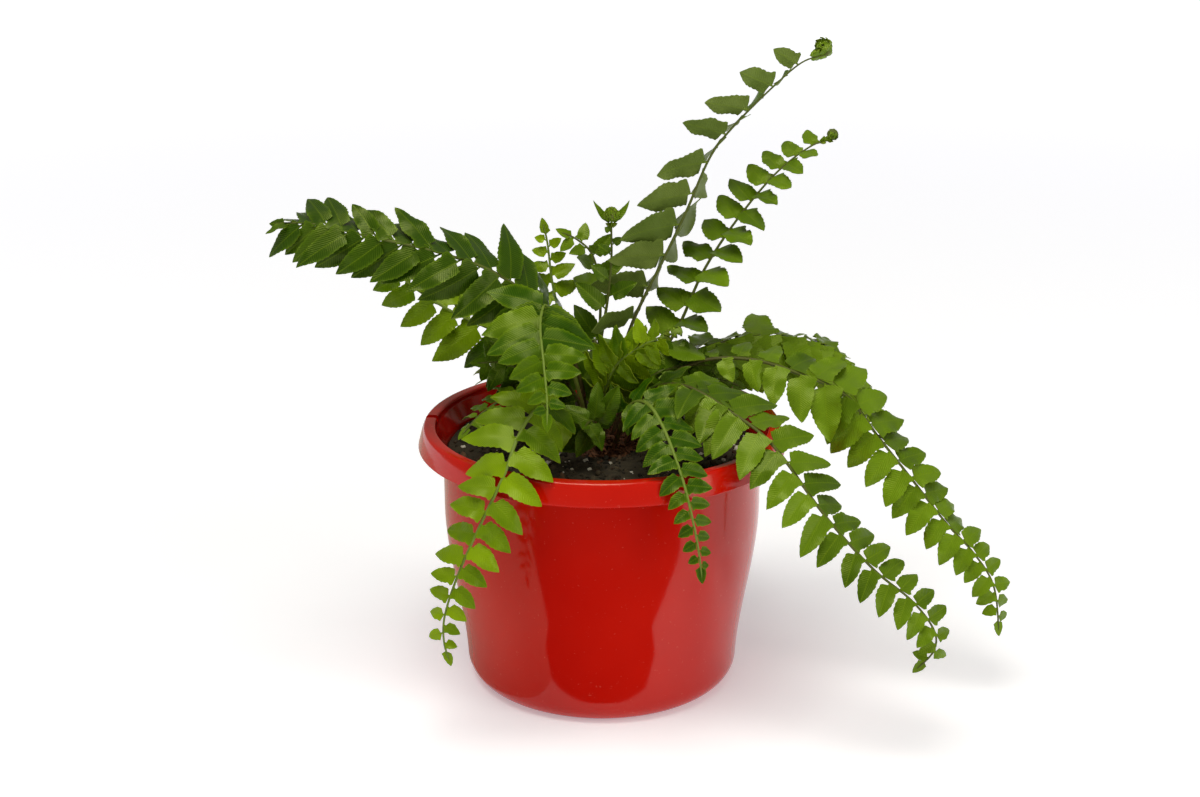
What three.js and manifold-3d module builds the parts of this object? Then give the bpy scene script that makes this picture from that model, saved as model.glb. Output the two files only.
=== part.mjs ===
// A sword fern growing in a plastic pot. Millimetres, +Z up, origin at the centre of the pot's base.
// The fern faces -Y. Each frond is one thin solid: a stalk with its leaflets cut to the rib.
import * as THREE from 'three';
import { mergeVertices } from 'three/addons/utils/BufferGeometryUtils.js';
import Module from 'manifold-3d';

const wasm = await Module();
wasm.setup();

// Clearance between pieces that touch
const GAP = 0.3;

// Pot: a squat round pot with a flared rim band
const POT_HEIGHT = 145.7;
const POT_SIDES = 28;
const POT_WALL = 2.2;
const POT_FLOOR = 3.0;
const BASE_RADIUS = 75.3;
const BASE_ROUNDING = 11;
const BELLY_GROWTH = 11.2;
const BELLY_FROM = 5;
const BELLY_SPAN = 95;
const BODY_TOP = 132;
const BAND_BOTTOM = 133.8;
const BAND_RADIUS = 100;
const BAND_THICKNESS = 1.8;
const LIP_OUTER = 96.5;
const LIP_INNER = 90.5;
const LIP_ROUNDING = 1.6;
const EDGE_ROUNDING = 0.8;
const BODY_RINGS = 4;
const INNER_HEIGHTS = [11, 46, 88, 132];
const DRAIN_HOLES = 4;
const DRAIN_RADIUS = 5;
const DRAIN_CIRCLE = 46;
const HANGER_NOTCHES = 3;
const NOTCH_WIDTH = 4.5;
const NOTCH_DEPTH = 2.6;
const NOTCH_FIRST_DEG = 176;

// Potting mix and the scaly crown that the fronds grow from
const SOIL_SIDES = 14;
const SOIL_TOP = 132.5;
const SOIL_EDGE_DROP = 2;
const SOIL_RINGS = [74, 62, 50, 38, 28];
const SOIL_BUMP = 1.1;
const SOIL_WAVE = 7;
const CROWN_X = 1;
const CROWN_Y = 2;
const CROWN_RADIUS = 25;
const CROWN_SIDES = 12;
const CROWN_BOTTOM = 124;
const CROWN_TOP = 137.5;
const CROWN_SHOULDER = 3;
const CROWN_CAP_RADIUS = 13;
const CROWN_RIDGES = 5;
const CROWN_RIPPLE = 0.5;

// Fronds: stalk sections and leaflet blades
const FOOT_DEPTH = 9;
const HOLE_ABOVE = 6;
const STALK_HALF_WIDTH = 1.15;
const STALK_HALF_WIDTH_END = 0.45;
const STALK_FLATNESS = 0.85;
const STALK_STEP = 20;
const SHORTEST_STEP = 0.5;
const SPLINE_SAMPLES = 30;
const LEAF_THICKNESS = 0.7;
const LEAF_WIDTH_SHARE = 0.38;
const LEAF_WIDTH_LEAST = 1.8;
const LEAF_BASE = 1.2;
const LEAF_CLEARANCE = 1.0;
const NECK_LIMIT = 0.3;
const OPENING_SHARE = 0.25;
const BACK_SHARE = 0.4;
const OTHER_SIDE_SHIFT = 0.45;
const TIP_LEAF = 9;
const TIP_LEAF_HALF_WIDTH = 2.3;
const TIP_POINT = 0.25;
const TIP_STOPS = [0, 0.35, 0.75, 1];
const COIL_TURNS = 1.2;
const COIL_SHRINK = 0.72;
const COIL_STEP_DEG = 30;
const COIL_ROOM = 6;
const COIL_HALF_WIDTHS = [1.6, 0.9];
const COIL_HALF_THICKNESSES = [0.7, 0.45];

// How much leaflets differ from each other, in shares or degrees
const LENGTH_SPREAD = 0.08;
const SWEEP_SPREAD = 7;
const LIFT_SPREAD = 9;
const TWIST_SPREAD = 0.22;
const TWIST_LEAN = 0.12;
const DROOP_SPREAD = 0.5;

// Where a leaflet reaches, in shares of its width, from its neck (0) to its point (1)
const LONG_OUTLINE = [
  { at: 0.00, upper: 0.58, lower: 0.40 },
  { at: 0.36, upper: 0.50, lower: 0.50 },
  { at: 0.74, upper: 0.35, lower: 0.36 },
];
const SHORT_OUTLINE = [
  { at: 0.05, upper: 0.55, lower: 0.45 },
  { at: 0.58, upper: 0.45, lower: 0.45 },
];
const TINY_OUTLINE = [
  { at: 0.30, upper: 0.50, lower: 0.50 },
];
const LONG_LEAF = 17;
const SHORT_LEAF = 8;

// How a leaflet gives way to its neighbours: lift in degrees, then its share of full length
const GIVE_WAY = [
  [0, 1], [-14, 1], [14, 1], [-28, 1], [26, 1], [0, 0.8], [-20, 0.8], [20, 0.8],
  [-42, 0.8], [40, 0.75], [0, 0.6], [-30, 0.6], [30, 0.6], [-60, 0.6], [60, 0.6],
];

// What a frond has unless it says otherwise
const USUAL = {
  bare: 45,         // stalk without leaflets, from the crown
  step: 13,         // distance between leaflets on one side
  leaf: 30,         // longest leaflet
  sweep: 74,        // angle between stalk and leaflet
  back: 0,          // how much further the first leaflets lean back
  lift: -8,         // leaflets above (+) or below (-) the blade's plane
  lean: 0,          // how much more than that on the right, and less on the left
  sky: 0.35,        // how far leaflets turn their faces to the light
  droop: 0.16,      // how far a leaflet's point hangs, in shares of its length
  hook: 0.05,       // how far it bends towards the frond's point
  taper: 0.6,       // how fast leaflets shorten towards the frond's point
  start: 0.7,       // first leaflets, in shares of the longest
  coil: 0,          // radius of the coiled tip, or 0 for a leafy tip
  broad: 1,         // leaflets' width, in shares of the usual one
  closing: 0.4,     // how much closer the last leaflets stand than the first
  light: [0, 0, 1], // where the light comes from that leaflets turn to
};

// path: where the stalk runs, from the crown. faces: where its upper side looks, at foot and tip.
const FRONDS = [
  {
    name: 'frond_left_long', colour: 'leaf_mid', leaf: 37, bare: 50, step: 13,
    path: [[-8, -1, 138], [-12, -6, 172], [-26, -13, 207], [-53, -20, 232], [-83, -24, 245],
      [-119, -22, 253], [-150, -14, 258], [-174, -4, 256]],
    faces: [[0.3, -0.8, 0.5], [0, -0.85, 0.5]], sky: 0.1, lift: -20, sweep: 46, back: 54, taper: 0.18,
    droop: 0.26, broad: 0.84, lean: -16,
  },
  {
    name: 'frond_left_low', colour: 'leaf_bright', leaf: 36, bare: 50, step: 17,
    path: [[-13, 7, 138], [-26, 14, 166], [-48, 22, 184], [-77, 26, 197], [-97, 26, 209],
      [-118, 22, 228]],
    faces: [[0.3, -0.6, 0.8], [-0.2, -0.9, 0.6]], lift: -20, sweep: 64, taper: 0.4,
  },
  {
    name: 'frond_centre_front', colour: 'leaf_bright', leaf: 37, bare: 94, step: 12,
    path: [[-6, -9, 138], [-14, -12, 172], [-23, -22, 205], [-29, -38, 221], [-31, -60, 217],
      [-29, -80, 204], [-27, -92, 188], [-27, -99, 174]],
    faces: [[0, -1, 0.3], [0, -1, 0.3]], taper: 0.8, sweep: 80, lift: -10, droop: 0.1, sky: 0.8,
    light: [0, -1, 0.3], start: 0.75,
  },
  {
    name: 'frond_front_left', colour: 'leaf_bright', leaf: 33, bare: 34, step: 16,
    path: [[-11, -15, 138], [-20, -32, 162], [-33, -56, 171], [-42, -78, 164], [-49, -92, 148],
      [-60, -99, 126], [-71, -103, 102], [-79, -103, 78], [-80, -102, 62], [-77, -100, 48]],
    faces: [[0, -0.7, 0.7], [-0.3, -0.9, 0.2]], sky: 0.5, light: [0, -1, 0.5],
  },
  {
    name: 'frond_left_small', colour: 'leaf_mid', leaf: 18, bare: 30, step: 10,
    path: [[-17, -8, 138], [-28, -11, 157], [-46, -16, 165], [-62, -27, 160], [-75, -42, 150]],
    faces: [[0, -0.3, 1], [-0.3, -0.4, 0.9]],
  },
  {
    name: 'frond_front_right', colour: 'leaf_bright', leaf: 23, bare: 26, step: 12,
    path: [[7, -16, 138], [14, -32, 164], [23, -50, 172], [31, -68, 165], [39, -90, 149],
      [44, -101, 132], [48, -105, 112], [50, -105, 96]],
    faces: [[0, -0.7, 0.7], [0.2, -0.9, 0.2]], sky: 0.5, light: [0, -1, 0.5],
  },
  {
    name: 'frond_right_front', colour: 'leaf_mid', leaf: 32, bare: 28, step: 16,
    path: [[14, -10, 138], [25, -20, 168], [43, -36, 177], [68, -56, 168], [87, -71, 156],
      [111, -90, 127], [135, -100, 102], [155, -104, 86], [167, -104, 70], [168, -102, 57],
      [159, -98, 43]],
    faces: [[0.2, -0.4, 0.9], [0.3, -0.8, 0.5]], taper: 0.45, start: 0.6, sky: 0.4,
    light: [0, -1, 0.6],
  },
  {
    name: 'frond_right_long', colour: 'leaf_mid', leaf: 34, bare: 62, step: 15,
    path: [[18, -2, 138], [30, 0, 164], [52, 3, 178], [80, 1, 180], [108, -5, 173], [131, -10, 163],
      [148, -16, 142], [167, -22, 119], [185, -28, 97], [201, -32, 80], [212, -34, 62], [217, -34, 33]],
    faces: [[0, -0.4, 0.9], [0.3, -0.9, 0.4]], sky: 0.1, lift: -16, start: 0.35, taper: 0.5,
    broad: 1.12,
  },
  {
    name: 'frond_right_arch', colour: 'leaf_mid', leaf: 35, bare: 56, step: 13,
    path: [[18, 8, 138], [30, 22, 163], [52, 39, 173], [84, 55, 176], [114, 67, 171], [139, 77, 158],
      [158, 85, 136], [170, 90, 114]],
    faces: [[0, -0.2, 1], [0.5, -0.5, 0.7]], sky: 0, lift: -25, taper: 0.4, broad: 1.15,
  },
  {
    name: 'frond_tall', colour: 'leaf_dark', leaf: 37, bare: 54, step: 19, coil: 5.4,
    path: [[5, 11, 138], [9, 13, 170], [17, 17, 197], [33, 24, 229], [45, 28, 254], [58, 32, 284],
      [71, 34, 301], [91, 36, 321], [106, 36, 334], [118, 36, 338]],
    faces: [[-0.6, 0.75, 0.1], [-0.5, 0.6, 0.5]], sweep: 114, lift: 46, sky: 0.4, droop: 0.26,
    taper: 0.32, start: 0.75, closing: 0.1, broad: 1.15,
  },
  {
    name: 'frond_second', colour: 'leaf_mid', leaf: 30, bare: 46, step: 16, coil: 3.4,
    path: [[11, 5, 138], [24, 14, 164], [42, 24, 192], [55, 29, 221], [72, 32, 248], [93, 34, 274],
      [112, 36, 289], [124, 36, 293]],
    faces: [[-0.6, -0.5, 0.6], [-0.5, -0.5, 0.8]], sweep: 84, sky: 0.75, taper: 0.35, start: 0.9,
    lift: 12, droop: 0.1, broad: 1.15,
  },
  {
    name: 'frond_centre_young', colour: 'leaf_dark', leaf: 28, bare: 50, step: 18, coil: 3.4,
    path: [[-3, 4, 138], [-3, 9, 160], [-1, 13, 184], [3, 16, 209], [5, 16, 231], [5, 16, 248],
      [5, 16, 256]],
    faces: [[0, -1, 0.2], [0, -1, 0.2]], sweep: 52, lift: 20, taper: 1.0, start: 1, sky: 0.3,
  },
  {
    name: 'frond_curled_young', colour: 'leaf_mid', leaf: 20, bare: 78, step: 12,
    path: [[-5, 13, 138], [-2, 22, 178], [-1, 30, 209], [-5, 34, 229], [-14, 36, 238], [-25, 36, 243]],
    faces: [[-0.8, -0.6, 0.2], [-0.3, -0.7, 0.8]], taper: 0.5, start: 1, sky: 0.3,
  },
  {
    name: 'frond_left_young', colour: 'leaf_bright', leaf: 18, bare: 70, step: 10,
    path: [[-8, 19, 138], [-19, 31, 178], [-27, 39, 210], [-30, 42, 234], [-33, 42, 248]],
    faces: [[0, -1, 0.3], [0, -1, 0.5]], taper: 0.8, start: 1, sky: 0.4,
  },
  {
    name: 'frond_middle', colour: 'leaf_bright', leaf: 27, bare: 20, step: 9.5, coil: 3.4,
    path: [[1, -6, 138], [0, -10, 158], [6, -18, 180], [16, -24, 192], [28, -28, 200], [39, -30, 204]],
    faces: [[0, -1, 0.5], [0, -1, 0.5]], taper: 0.5, lift: -18, sky: 0.1, sweep: 86, start: 0.95,
  },
  {
    name: 'frond_left_inner', colour: 'leaf_dark', leaf: 30, bare: 26, step: 13,
    path: [[-16, 0, 138], [-27, -1, 162], [-40, -4, 174], [-54, -6, 180], [-70, -9, 181]],
    faces: [[0, -1, 0.4], [0, -1, 0.4]], sky: 0.1, start: 0.9,
  },
  {
    name: 'frond_right_inner', colour: 'leaf_dark', leaf: 30, bare: 24, step: 13,
    path: [[20, 3, 137], [34, 9, 157], [50, 15, 163], [66, 20, 162], [80, 24, 156]],
    faces: [[0, -1, 0.4], [0, -1, 0.4]], sky: 0.1, start: 0.9,
  },
  {
    name: 'frond_front_dark', colour: 'leaf_dark', leaf: 31, bare: 10, step: 11,
    path: [[-2, -18, 138], [-3, -28, 152], [-6, -37, 158], [-10, -50, 158]],
    faces: [[0, -1, 0.4], [0, -1, 0.4]], lift: -4, sky: 0.7, light: [0, -1, 0.4], start: 0.9,
  },
  {
    name: 'frond_heart_right', colour: 'leaf_dark', leaf: 31, bare: 18, step: 12,
    path: [[6, 1, 138], [13, 5, 156], [28, 8, 169], [44, 8, 174], [62, 4, 176]],
    faces: [[0, -1, 0.3], [0, -1, 0.3]], lift: -4, sky: 0.1, start: 0.9,
  },
  {
    name: 'frond_heart_left', colour: 'leaf_dark', leaf: 31, bare: 18, step: 12,
    path: [[-7, 6, 138], [-15, 9, 158], [-28, 10, 172], [-44, 8, 180], [-62, 4, 182]],
    faces: [[0, -1, 0.3], [0, -1, 0.3]], lift: -4, sky: 0.1, start: 0.9,
  },
  {
    name: 'frond_back_left', colour: 'leaf_mid', leaf: 30, bare: 42, step: 21,
    path: [[-16, 16, 138], [-30, 34, 161], [-42, 58, 168], [-52, 86, 158], [-62, 110, 134],
      [-70, 124, 104], [-74, 128, 74]],
    faces: [[0, 0.3, 1], [-0.3, 0.9, 0.2]],
  },
  {
    name: 'frond_back', colour: 'leaf_mid', leaf: 31, bare: 40, step: 21,
    path: [[0, 21, 138], [-2, 42, 163], [-4, 70, 170], [-6, 98, 157], [-9, 120, 130], [-12, 131, 98],
      [-14, 134, 64]],
    faces: [[0, 0.3, 1], [0, 1, 0.2]],
  },
  {
    name: 'frond_back_right', colour: 'leaf_bright', leaf: 30, bare: 40, step: 21,
    path: [[13, 16, 138], [24, 36, 162], [36, 60, 169], [46, 87, 158], [57, 109, 133], [66, 122, 102],
      [74, 126, 72]],
    faces: [[0, 0.3, 1], [0.3, 0.9, 0.2]],
  },
  {
    name: 'frond_back_inner', colour: 'leaf_dark', leaf: 26, bare: 28, step: 13,
    path: [[7, 22, 137], [11, 36, 156], [15, 54, 164], [19, 74, 160]],
    faces: [[0, 0.2, 1], [0, 0.5, 0.9]],
  },
];

// A repeatable draw from -1 to 1 for one leaflet of one frond
function draw(frondIndex, leafIndex, salt) {
  const wave = Math.sin(frondIndex * 12.9898 + leafIndex * 78.233 + salt * 37.719) * 43758.5453;
  return 2 * (wave - Math.floor(wave)) - 1;
}

function vector(list) {
  return new THREE.Vector3(...list);
}

// origin moved in each direction by the amount that follows it
function offset(origin, ...moves) {
  const place = origin.clone();
  for (let i = 0; i < moves.length; i += 2) place.addScaledVector(moves[i], moves[i + 1]);
  return place;
}

// Solids and geometries

function solidFrom(vertices, faces) {
  const mesh = new wasm.Mesh({
    numProp: 3,
    vertProperties: Float32Array.from(vertices.flatMap((v) => [v.x, v.y, v.z])),
    triVerts: Uint32Array.from(faces.flat()),
  });
  return new wasm.Manifold(mesh);
}

function geometryFrom({ vertices, faces }) {
  const geometry = new THREE.BufferGeometry();
  const places = vertices.flatMap((v) => [v.x, v.y, v.z]);
  geometry.setAttribute('position', new THREE.Float32BufferAttribute(places, 3));
  geometry.setIndex(faces.flat());
  geometry.computeVertexNormals();
  return geometry;
}

function solidFromGeometry(geometry) {
  const bare = geometry.clone();
  bare.deleteAttribute('normal');
  bare.deleteAttribute('uv');
  const merged = mergeVertices(bare, 1e-4);
  const vertices = [];
  for (let i = 0; i < merged.attributes.position.count; i += 1) {
    vertices.push(new THREE.Vector3().fromBufferAttribute(merged.attributes.position, i));
  }
  const faces = [];
  for (let i = 0; i < merged.index.count; i += 3) {
    const [a, b, c] = [0, 1, 2].map((k) => merged.index.getX(i + k));
    if (a !== b && b !== c && c !== a) faces.push([a, b, c]);
  }
  return solidFrom(vertices, faces);
}

function geometryFromSolid(solid) {
  const { numProp, vertProperties, triVerts } = solid.getMesh();
  const geometry = new THREE.BufferGeometry();
  const places = [];
  for (let i = 0; i < vertProperties.length; i += numProp) {
    places.push(vertProperties[i], vertProperties[i + 1], vertProperties[i + 2]);
  }
  geometry.setAttribute('position', new THREE.Float32BufferAttribute(places, 3));
  geometry.setIndex(Array.from(triVerts));
  geometry.computeVertexNormals();
  return geometry;
}

// A solid turned about Z from [radius, height] points that run from the axis out, up and back
function turned(profile, sides) {
  const geometry = new THREE.LatheGeometry(profile.map(([r, z]) => new THREE.Vector2(r, z)), sides);
  geometry.rotateX(Math.PI / 2);
  return geometry;
}

// Pot

function potRadius(z) {
  const share = THREE.MathUtils.clamp((z - BELLY_FROM) / BELLY_SPAN, 0, 1);
  return BASE_RADIUS + BELLY_GROWTH * share * share * (3 - 2 * share);
}

function innerRadius(z) {
  return potRadius(z) - POT_WALL;
}

function potProfile() {
  const points = [[0, 0]];
  for (const angle of [0, Math.PI / 4]) {
    const radius = BASE_RADIUS - BASE_ROUNDING * (1 - Math.sin(angle));
    points.push([radius, BASE_ROUNDING * (1 - Math.cos(angle))]);
  }
  for (let i = 0; i <= BODY_RINGS; i += 1) {
    const z = THREE.MathUtils.lerp(BASE_ROUNDING, BODY_TOP, i / BODY_RINGS);
    points.push([potRadius(z), z]);
  }
  // Up behind the rim band, down to its lower edge, up its face and over the lip
  points.push([LIP_INNER + POT_WALL / 2, POT_HEIGHT - 2 * POT_WALL]);
  points.push([LIP_OUTER - POT_WALL, POT_HEIGHT - 1.5 * POT_WALL]);
  points.push([BAND_RADIUS - BAND_THICKNESS, BAND_BOTTOM]);
  points.push([BAND_RADIUS - EDGE_ROUNDING, BAND_BOTTOM]);
  points.push([BAND_RADIUS, BAND_BOTTOM + EDGE_ROUNDING]);
  points.push([LIP_OUTER, POT_HEIGHT - LIP_ROUNDING]);
  points.push([LIP_OUTER - LIP_ROUNDING, POT_HEIGHT]);
  points.push([LIP_INNER + LIP_ROUNDING, POT_HEIGHT]);
  points.push([LIP_INNER, POT_HEIGHT - LIP_ROUNDING]);
  for (const z of [...INNER_HEIGHTS].reverse()) points.push([innerRadius(z), z]);
  points.push([BASE_RADIUS - BASE_ROUNDING, POT_FLOOR]);
  points.push([0, POT_FLOOR]);
  return points;
}

function potGeometry() {
  let pot = solidFromGeometry(turned(potProfile(), POT_SIDES));
  for (let i = 0; i < DRAIN_HOLES; i += 1) {
    const angle = (2 * Math.PI * (i + 0.5)) / DRAIN_HOLES;
    const hole = new THREE.CylinderGeometry(DRAIN_RADIUS, DRAIN_RADIUS, 3 * POT_FLOOR, 8);
    hole.rotateX(Math.PI / 2);
    hole.translate(DRAIN_CIRCLE * Math.cos(angle), DRAIN_CIRCLE * Math.sin(angle), POT_FLOOR / 2);
    pot = pot.subtract(solidFromGeometry(hole));
  }
  for (let i = 0; i < HANGER_NOTCHES; i += 1) {
    const angle = THREE.MathUtils.degToRad(NOTCH_FIRST_DEG) + (2 * Math.PI * i) / HANGER_NOTCHES;
    const notch = new THREE.BoxGeometry(3 * (LIP_OUTER - LIP_INNER), NOTCH_WIDTH, 2 * NOTCH_DEPTH);
    notch.translate((LIP_OUTER + LIP_INNER) / 2, 0, POT_HEIGHT);
    notch.rotateZ(angle);
    pot = pot.subtract(solidFromGeometry(notch));
  }
  return geometryFromSolid(pot);
}

// Potting mix, with a plain hole for the crown

function soilHeight(x, y) {
  const mounds = Math.sin(x / SOIL_WAVE + 1) * Math.cos(y / SOIL_WAVE);
  const crumbs = Math.sin((2 * (x + y)) / SOIL_WAVE) / 2;
  return SOIL_TOP + SOIL_BUMP * (mounds + crumbs);
}

function soilGeometry() {
  const bottom = POT_FLOOR + GAP;
  const clear = 1.5 * GAP;
  const profile = [[0, bottom], [BASE_RADIUS - BASE_ROUNDING - GAP, bottom]];
  for (const z of INNER_HEIGHTS.slice(0, -1)) profile.push([innerRadius(z) - clear, z]);
  profile.push([innerRadius(SOIL_TOP) - clear, SOIL_TOP - SOIL_EDGE_DROP]);
  for (const radius of SOIL_RINGS) profile.push([radius, SOIL_TOP]);
  profile.push([0, SOIL_TOP]);
  const geometry = turned(profile, SOIL_SIDES);
  const place = geometry.attributes.position;
  for (let i = 0; i < place.count; i += 1) {
    const onTop = place.getZ(i) === Math.fround(SOIL_TOP);
    if (onTop) place.setZ(i, soilHeight(place.getX(i), place.getY(i)));
  }
  const holeRadius = CROWN_RADIUS + GAP;
  const holeHeight = 2 * (CROWN_TOP - CROWN_BOTTOM);
  const hole = new THREE.CylinderGeometry(holeRadius, holeRadius, holeHeight, CROWN_SIDES);
  hole.rotateX(Math.PI / 2);
  hole.translate(CROWN_X, CROWN_Y, CROWN_BOTTOM - GAP + holeHeight / 2);
  return geometryFromSolid(solidFromGeometry(geometry).subtract(solidFromGeometry(hole)));
}

// Crown: a low scaly mound, with a plain hole for the foot of each frond

function crownGeometry(feet) {
  const profile = [
    [0, CROWN_BOTTOM],
    [CROWN_RADIUS, CROWN_BOTTOM],
    [CROWN_RADIUS, SOIL_TOP - EDGE_ROUNDING],
    [CROWN_RADIUS - CROWN_SHOULDER, CROWN_TOP - CROWN_SHOULDER / 2],
    [CROWN_CAP_RADIUS, CROWN_TOP],
    [0, CROWN_TOP],
  ];
  const geometry = turned(profile, CROWN_SIDES);
  const place = geometry.attributes.position;
  for (let i = 0; i < place.count; i += 1) {
    const radius = Math.hypot(place.getX(i), place.getY(i));
    const angle = Math.atan2(place.getY(i), place.getX(i));
    const onTop = place.getZ(i) > SOIL_TOP && radius > 1;
    const ripple = onTop ? CROWN_RIPPLE * Math.sin(CROWN_RIDGES * angle + radius) : 0;
    place.setZ(i, place.getZ(i) + ripple);
  }
  geometry.translate(CROWN_X, CROWN_Y, 0);
  let crown = solidFromGeometry(geometry);
  for (const foot of feet) crown = crown.subtract(foot);
  return geometryFromSolid(crown);
}

// Frond stalk: a smooth curve through its path, measured along its length

function curveThrough(points) {
  const curve = new THREE.CatmullRomCurve3(points.map(vector), false, 'catmullrom', 0.5);
  const count = SPLINE_SAMPLES * (points.length - 1);
  const places = [];
  const reach = [0];
  for (let i = 0; i <= count; i += 1) {
    places.push(curve.getPoint(i / count));
    if (i > 0) reach.push(reach[i - 1] + places[i].distanceTo(places[i - 1]));
  }
  const length = reach[count];
  function at(distance) {
    if (distance <= 0) {
      const back = places[0].clone().sub(places[1]).normalize();
      return places[0].clone().addScaledVector(back, -distance);
    }
    let i = 1;
    while (i < count && reach[i] < distance) i += 1;
    const share = (distance - reach[i - 1]) / (reach[i] - reach[i - 1]);
    return places[i - 1].clone().lerp(places[i], share);
  }
  return { at, length };
}

// Place, direction, upper side and right-hand side of the stalk at a distance from the crown
function frameAt(frond, distance) {
  const { curve } = frond;
  if (distance > curve.length) return coilFrame(frond, distance - curve.length);
  const place = curve.at(distance);
  const ahead = curve.at(Math.min(distance + 1, curve.length));
  const along = ahead.sub(curve.at(distance - 1)).normalize();
  const share = THREE.MathUtils.clamp(distance / curve.length, 0, 1);
  const look = vector(frond.faces[0]).lerp(vector(frond.faces[1]), share);
  const up = look.addScaledVector(along, -look.dot(along)).normalize();
  const right = new THREE.Vector3().crossVectors(along, up);
  return { place, along, up, right };
}

// Past the end of its path a young frond coils up towards its upper side
function coilFrame(frond, distance) {
  const end = frameAt(frond, frond.curve.length);
  const turn = distance / frond.coil;
  const radius = frond.coil * (1 - (COIL_SHRINK * turn) / (2 * Math.PI * COIL_TURNS));
  const centre = end.place.clone().addScaledVector(end.up, frond.coil);
  const cos = Math.cos(turn);
  const sin = Math.sin(turn);
  const place = offset(centre, end.along, radius * sin, end.up, -radius * cos);
  const along = end.along.clone().multiplyScalar(cos).addScaledVector(end.up, sin);
  const up = end.up.clone().multiplyScalar(cos).addScaledVector(end.along, -sin);
  return { place, along, up, right: end.right };
}

// Half the stalk's width and half its thickness at a distance from the crown
function stalkHalves(frond, distance) {
  const { length } = frond.curve;
  const share = THREE.MathUtils.clamp(distance / length, 0, 1);
  const wide = THREE.MathUtils.lerp(STALK_HALF_WIDTH, STALK_HALF_WIDTH_END, share);
  const thick = wide * STALK_FLATNESS;
  if (distance > length) {
    const wound = (distance - length) / coilLength(frond);
    const between = ([from, to]) => THREE.MathUtils.lerp(from, to, wound);
    return [between(COIL_HALF_WIDTHS), between(COIL_HALF_THICKNESSES)];
  }
  if (frond.coil > 0 || distance <= length - TIP_LEAF) return [wide, thick];
  const tip = (distance - length + TIP_LEAF) / TIP_LEAF;
  const swell = Math.sin(Math.PI * tip);
  return [TIP_POINT + TIP_LEAF_HALF_WIDTH * swell, Math.max(LEAF_THICKNESS / 2, thick * (1 - tip))];
}

function coilLength(frond) {
  return frond.coil * 2 * Math.PI * COIL_TURNS;
}

// Leaflets

// Distances from the crown where one side of a frond has leaflets, closer towards the tip
function leafletDistances(frond, side) {
  const last = frond.curve.length - (frond.coil > 0 ? COIL_ROOM : TIP_LEAF);
  const found = [];
  let distance = frond.bare + (side > 0 ? OTHER_SIDE_SHIFT * frond.step : 0);
  while (distance < last - LEAF_BASE) {
    found.push(distance);
    const share = (distance - frond.bare) / (last - frond.bare);
    distance += frond.step * (1 - frond.closing * share);
  }
  return found;
}

function leafletLength(frond, distance) {
  const share = (distance - frond.bare) / (frond.curve.length - frond.bare);
  const opening = frond.start + (1 - frond.start) * Math.min(1, share / OPENING_SHARE);
  return frond.leaf * opening * Math.pow(1 - share, frond.taper);
}

// One leaflet's own frame and size. give is how it makes way for what is near it.
function leafletPose(frond, side, index, distance, give) {
  const { place, along, up, right } = frameAt(frond, distance);
  const [lift, shrink] = GIVE_WAY[give];
  const vary = (salt) => draw(frond.index, 2 * index + (side > 0 ? 1 : 0), salt);
  const length = leafletLength(frond, distance) * shrink * (1 + LENGTH_SPREAD * vary(1));
  const width = frond.broad * (LEAF_WIDTH_SHARE * length + LEAF_WIDTH_LEAST);
  const early = Math.max(0, 1 - (distance - frond.bare) / (BACK_SHARE * frond.curve.length));
  const sweep = THREE.MathUtils.degToRad(frond.sweep + frond.back * early + SWEEP_SPREAD * vary(2));
  const leant = frond.lift + side * frond.lean + lift + LIFT_SPREAD * vary(3);
  const raised = THREE.MathUtils.degToRad(leant);
  const none = new THREE.Vector3();
  const outward = offset(none, right, side * Math.cos(raised), up, Math.sin(raised));
  const axis = offset(none, outward, Math.sin(sweep), along, Math.cos(sweep));
  const plane = offset(none, up, Math.cos(raised), right, -side * Math.sin(raised));
  const look = plane.lerp(vector(frond.light), frond.sky);
  look.addScaledVector(along, TWIST_SPREAD * vary(4) - TWIST_LEAN);
  const normal = look.addScaledVector(axis, -look.dot(axis)).normalize();
  const across = new THREE.Vector3().crossVectors(normal, axis).multiplyScalar(side);
  const [wide, thick] = stalkHalves(frond, distance);
  const origin = offset(place, right, side * wide, up, thick);
  const [corner] = outlineFor(length);
  const near = corner.upper * width * Math.abs(Math.cos(sweep)) + LEAF_CLEARANCE;
  const neck = Math.min(near / Math.sin(sweep), NECK_LIMIT * length);
  const droop = frond.droop * (1 + DROOP_SPREAD * vary(5));
  return { side, distance, origin, axis, across, normal, length, width, neck, droop, hook: frond.hook };
}

function outlineFor(length) {
  if (length > LONG_LEAF) return LONG_OUTLINE;
  return length > SHORT_LEAF ? SHORT_OUTLINE : TINY_OUTLINE;
}

// A point of the blade: share runs from neck to point, wide is the distance from the midrib
function leafletPoint(pose, share, wide, high) {
  const { origin, axis, across, normal, length, neck, droop, hook } = pose;
  const run = neck + (length - neck) * share;
  const bend = (run * run) / length;
  return offset(origin, axis, run, across, wide + hook * bend, normal, high - droop * bend);
}

// Corner points of the blade's upper and lower face: both edges from neck to point, then the point
function leafletCorners(pose, grow) {
  const corners = { lower: [], upper: [], lowerUnder: [], upperUnder: [] };
  for (const { at, upper, lower } of outlineFor(pose.length)) {
    const low = -lower * pose.width - grow;
    const high = upper * pose.width + grow;
    corners.lower.push(leafletPoint(pose, at, low, grow));
    corners.upper.push(leafletPoint(pose, at, high, grow));
    corners.lowerUnder.push(leafletPoint(pose, at, low, -LEAF_THICKNESS - grow));
    corners.upperUnder.push(leafletPoint(pose, at, high, -LEAF_THICKNESS - grow));
  }
  const reach = 1 + grow / pose.length;
  corners.point = leafletPoint(pose, reach, 0, grow);
  corners.pointUnder = leafletPoint(pose, reach, 0, -LEAF_THICKNESS - grow);
  return corners;
}

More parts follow.
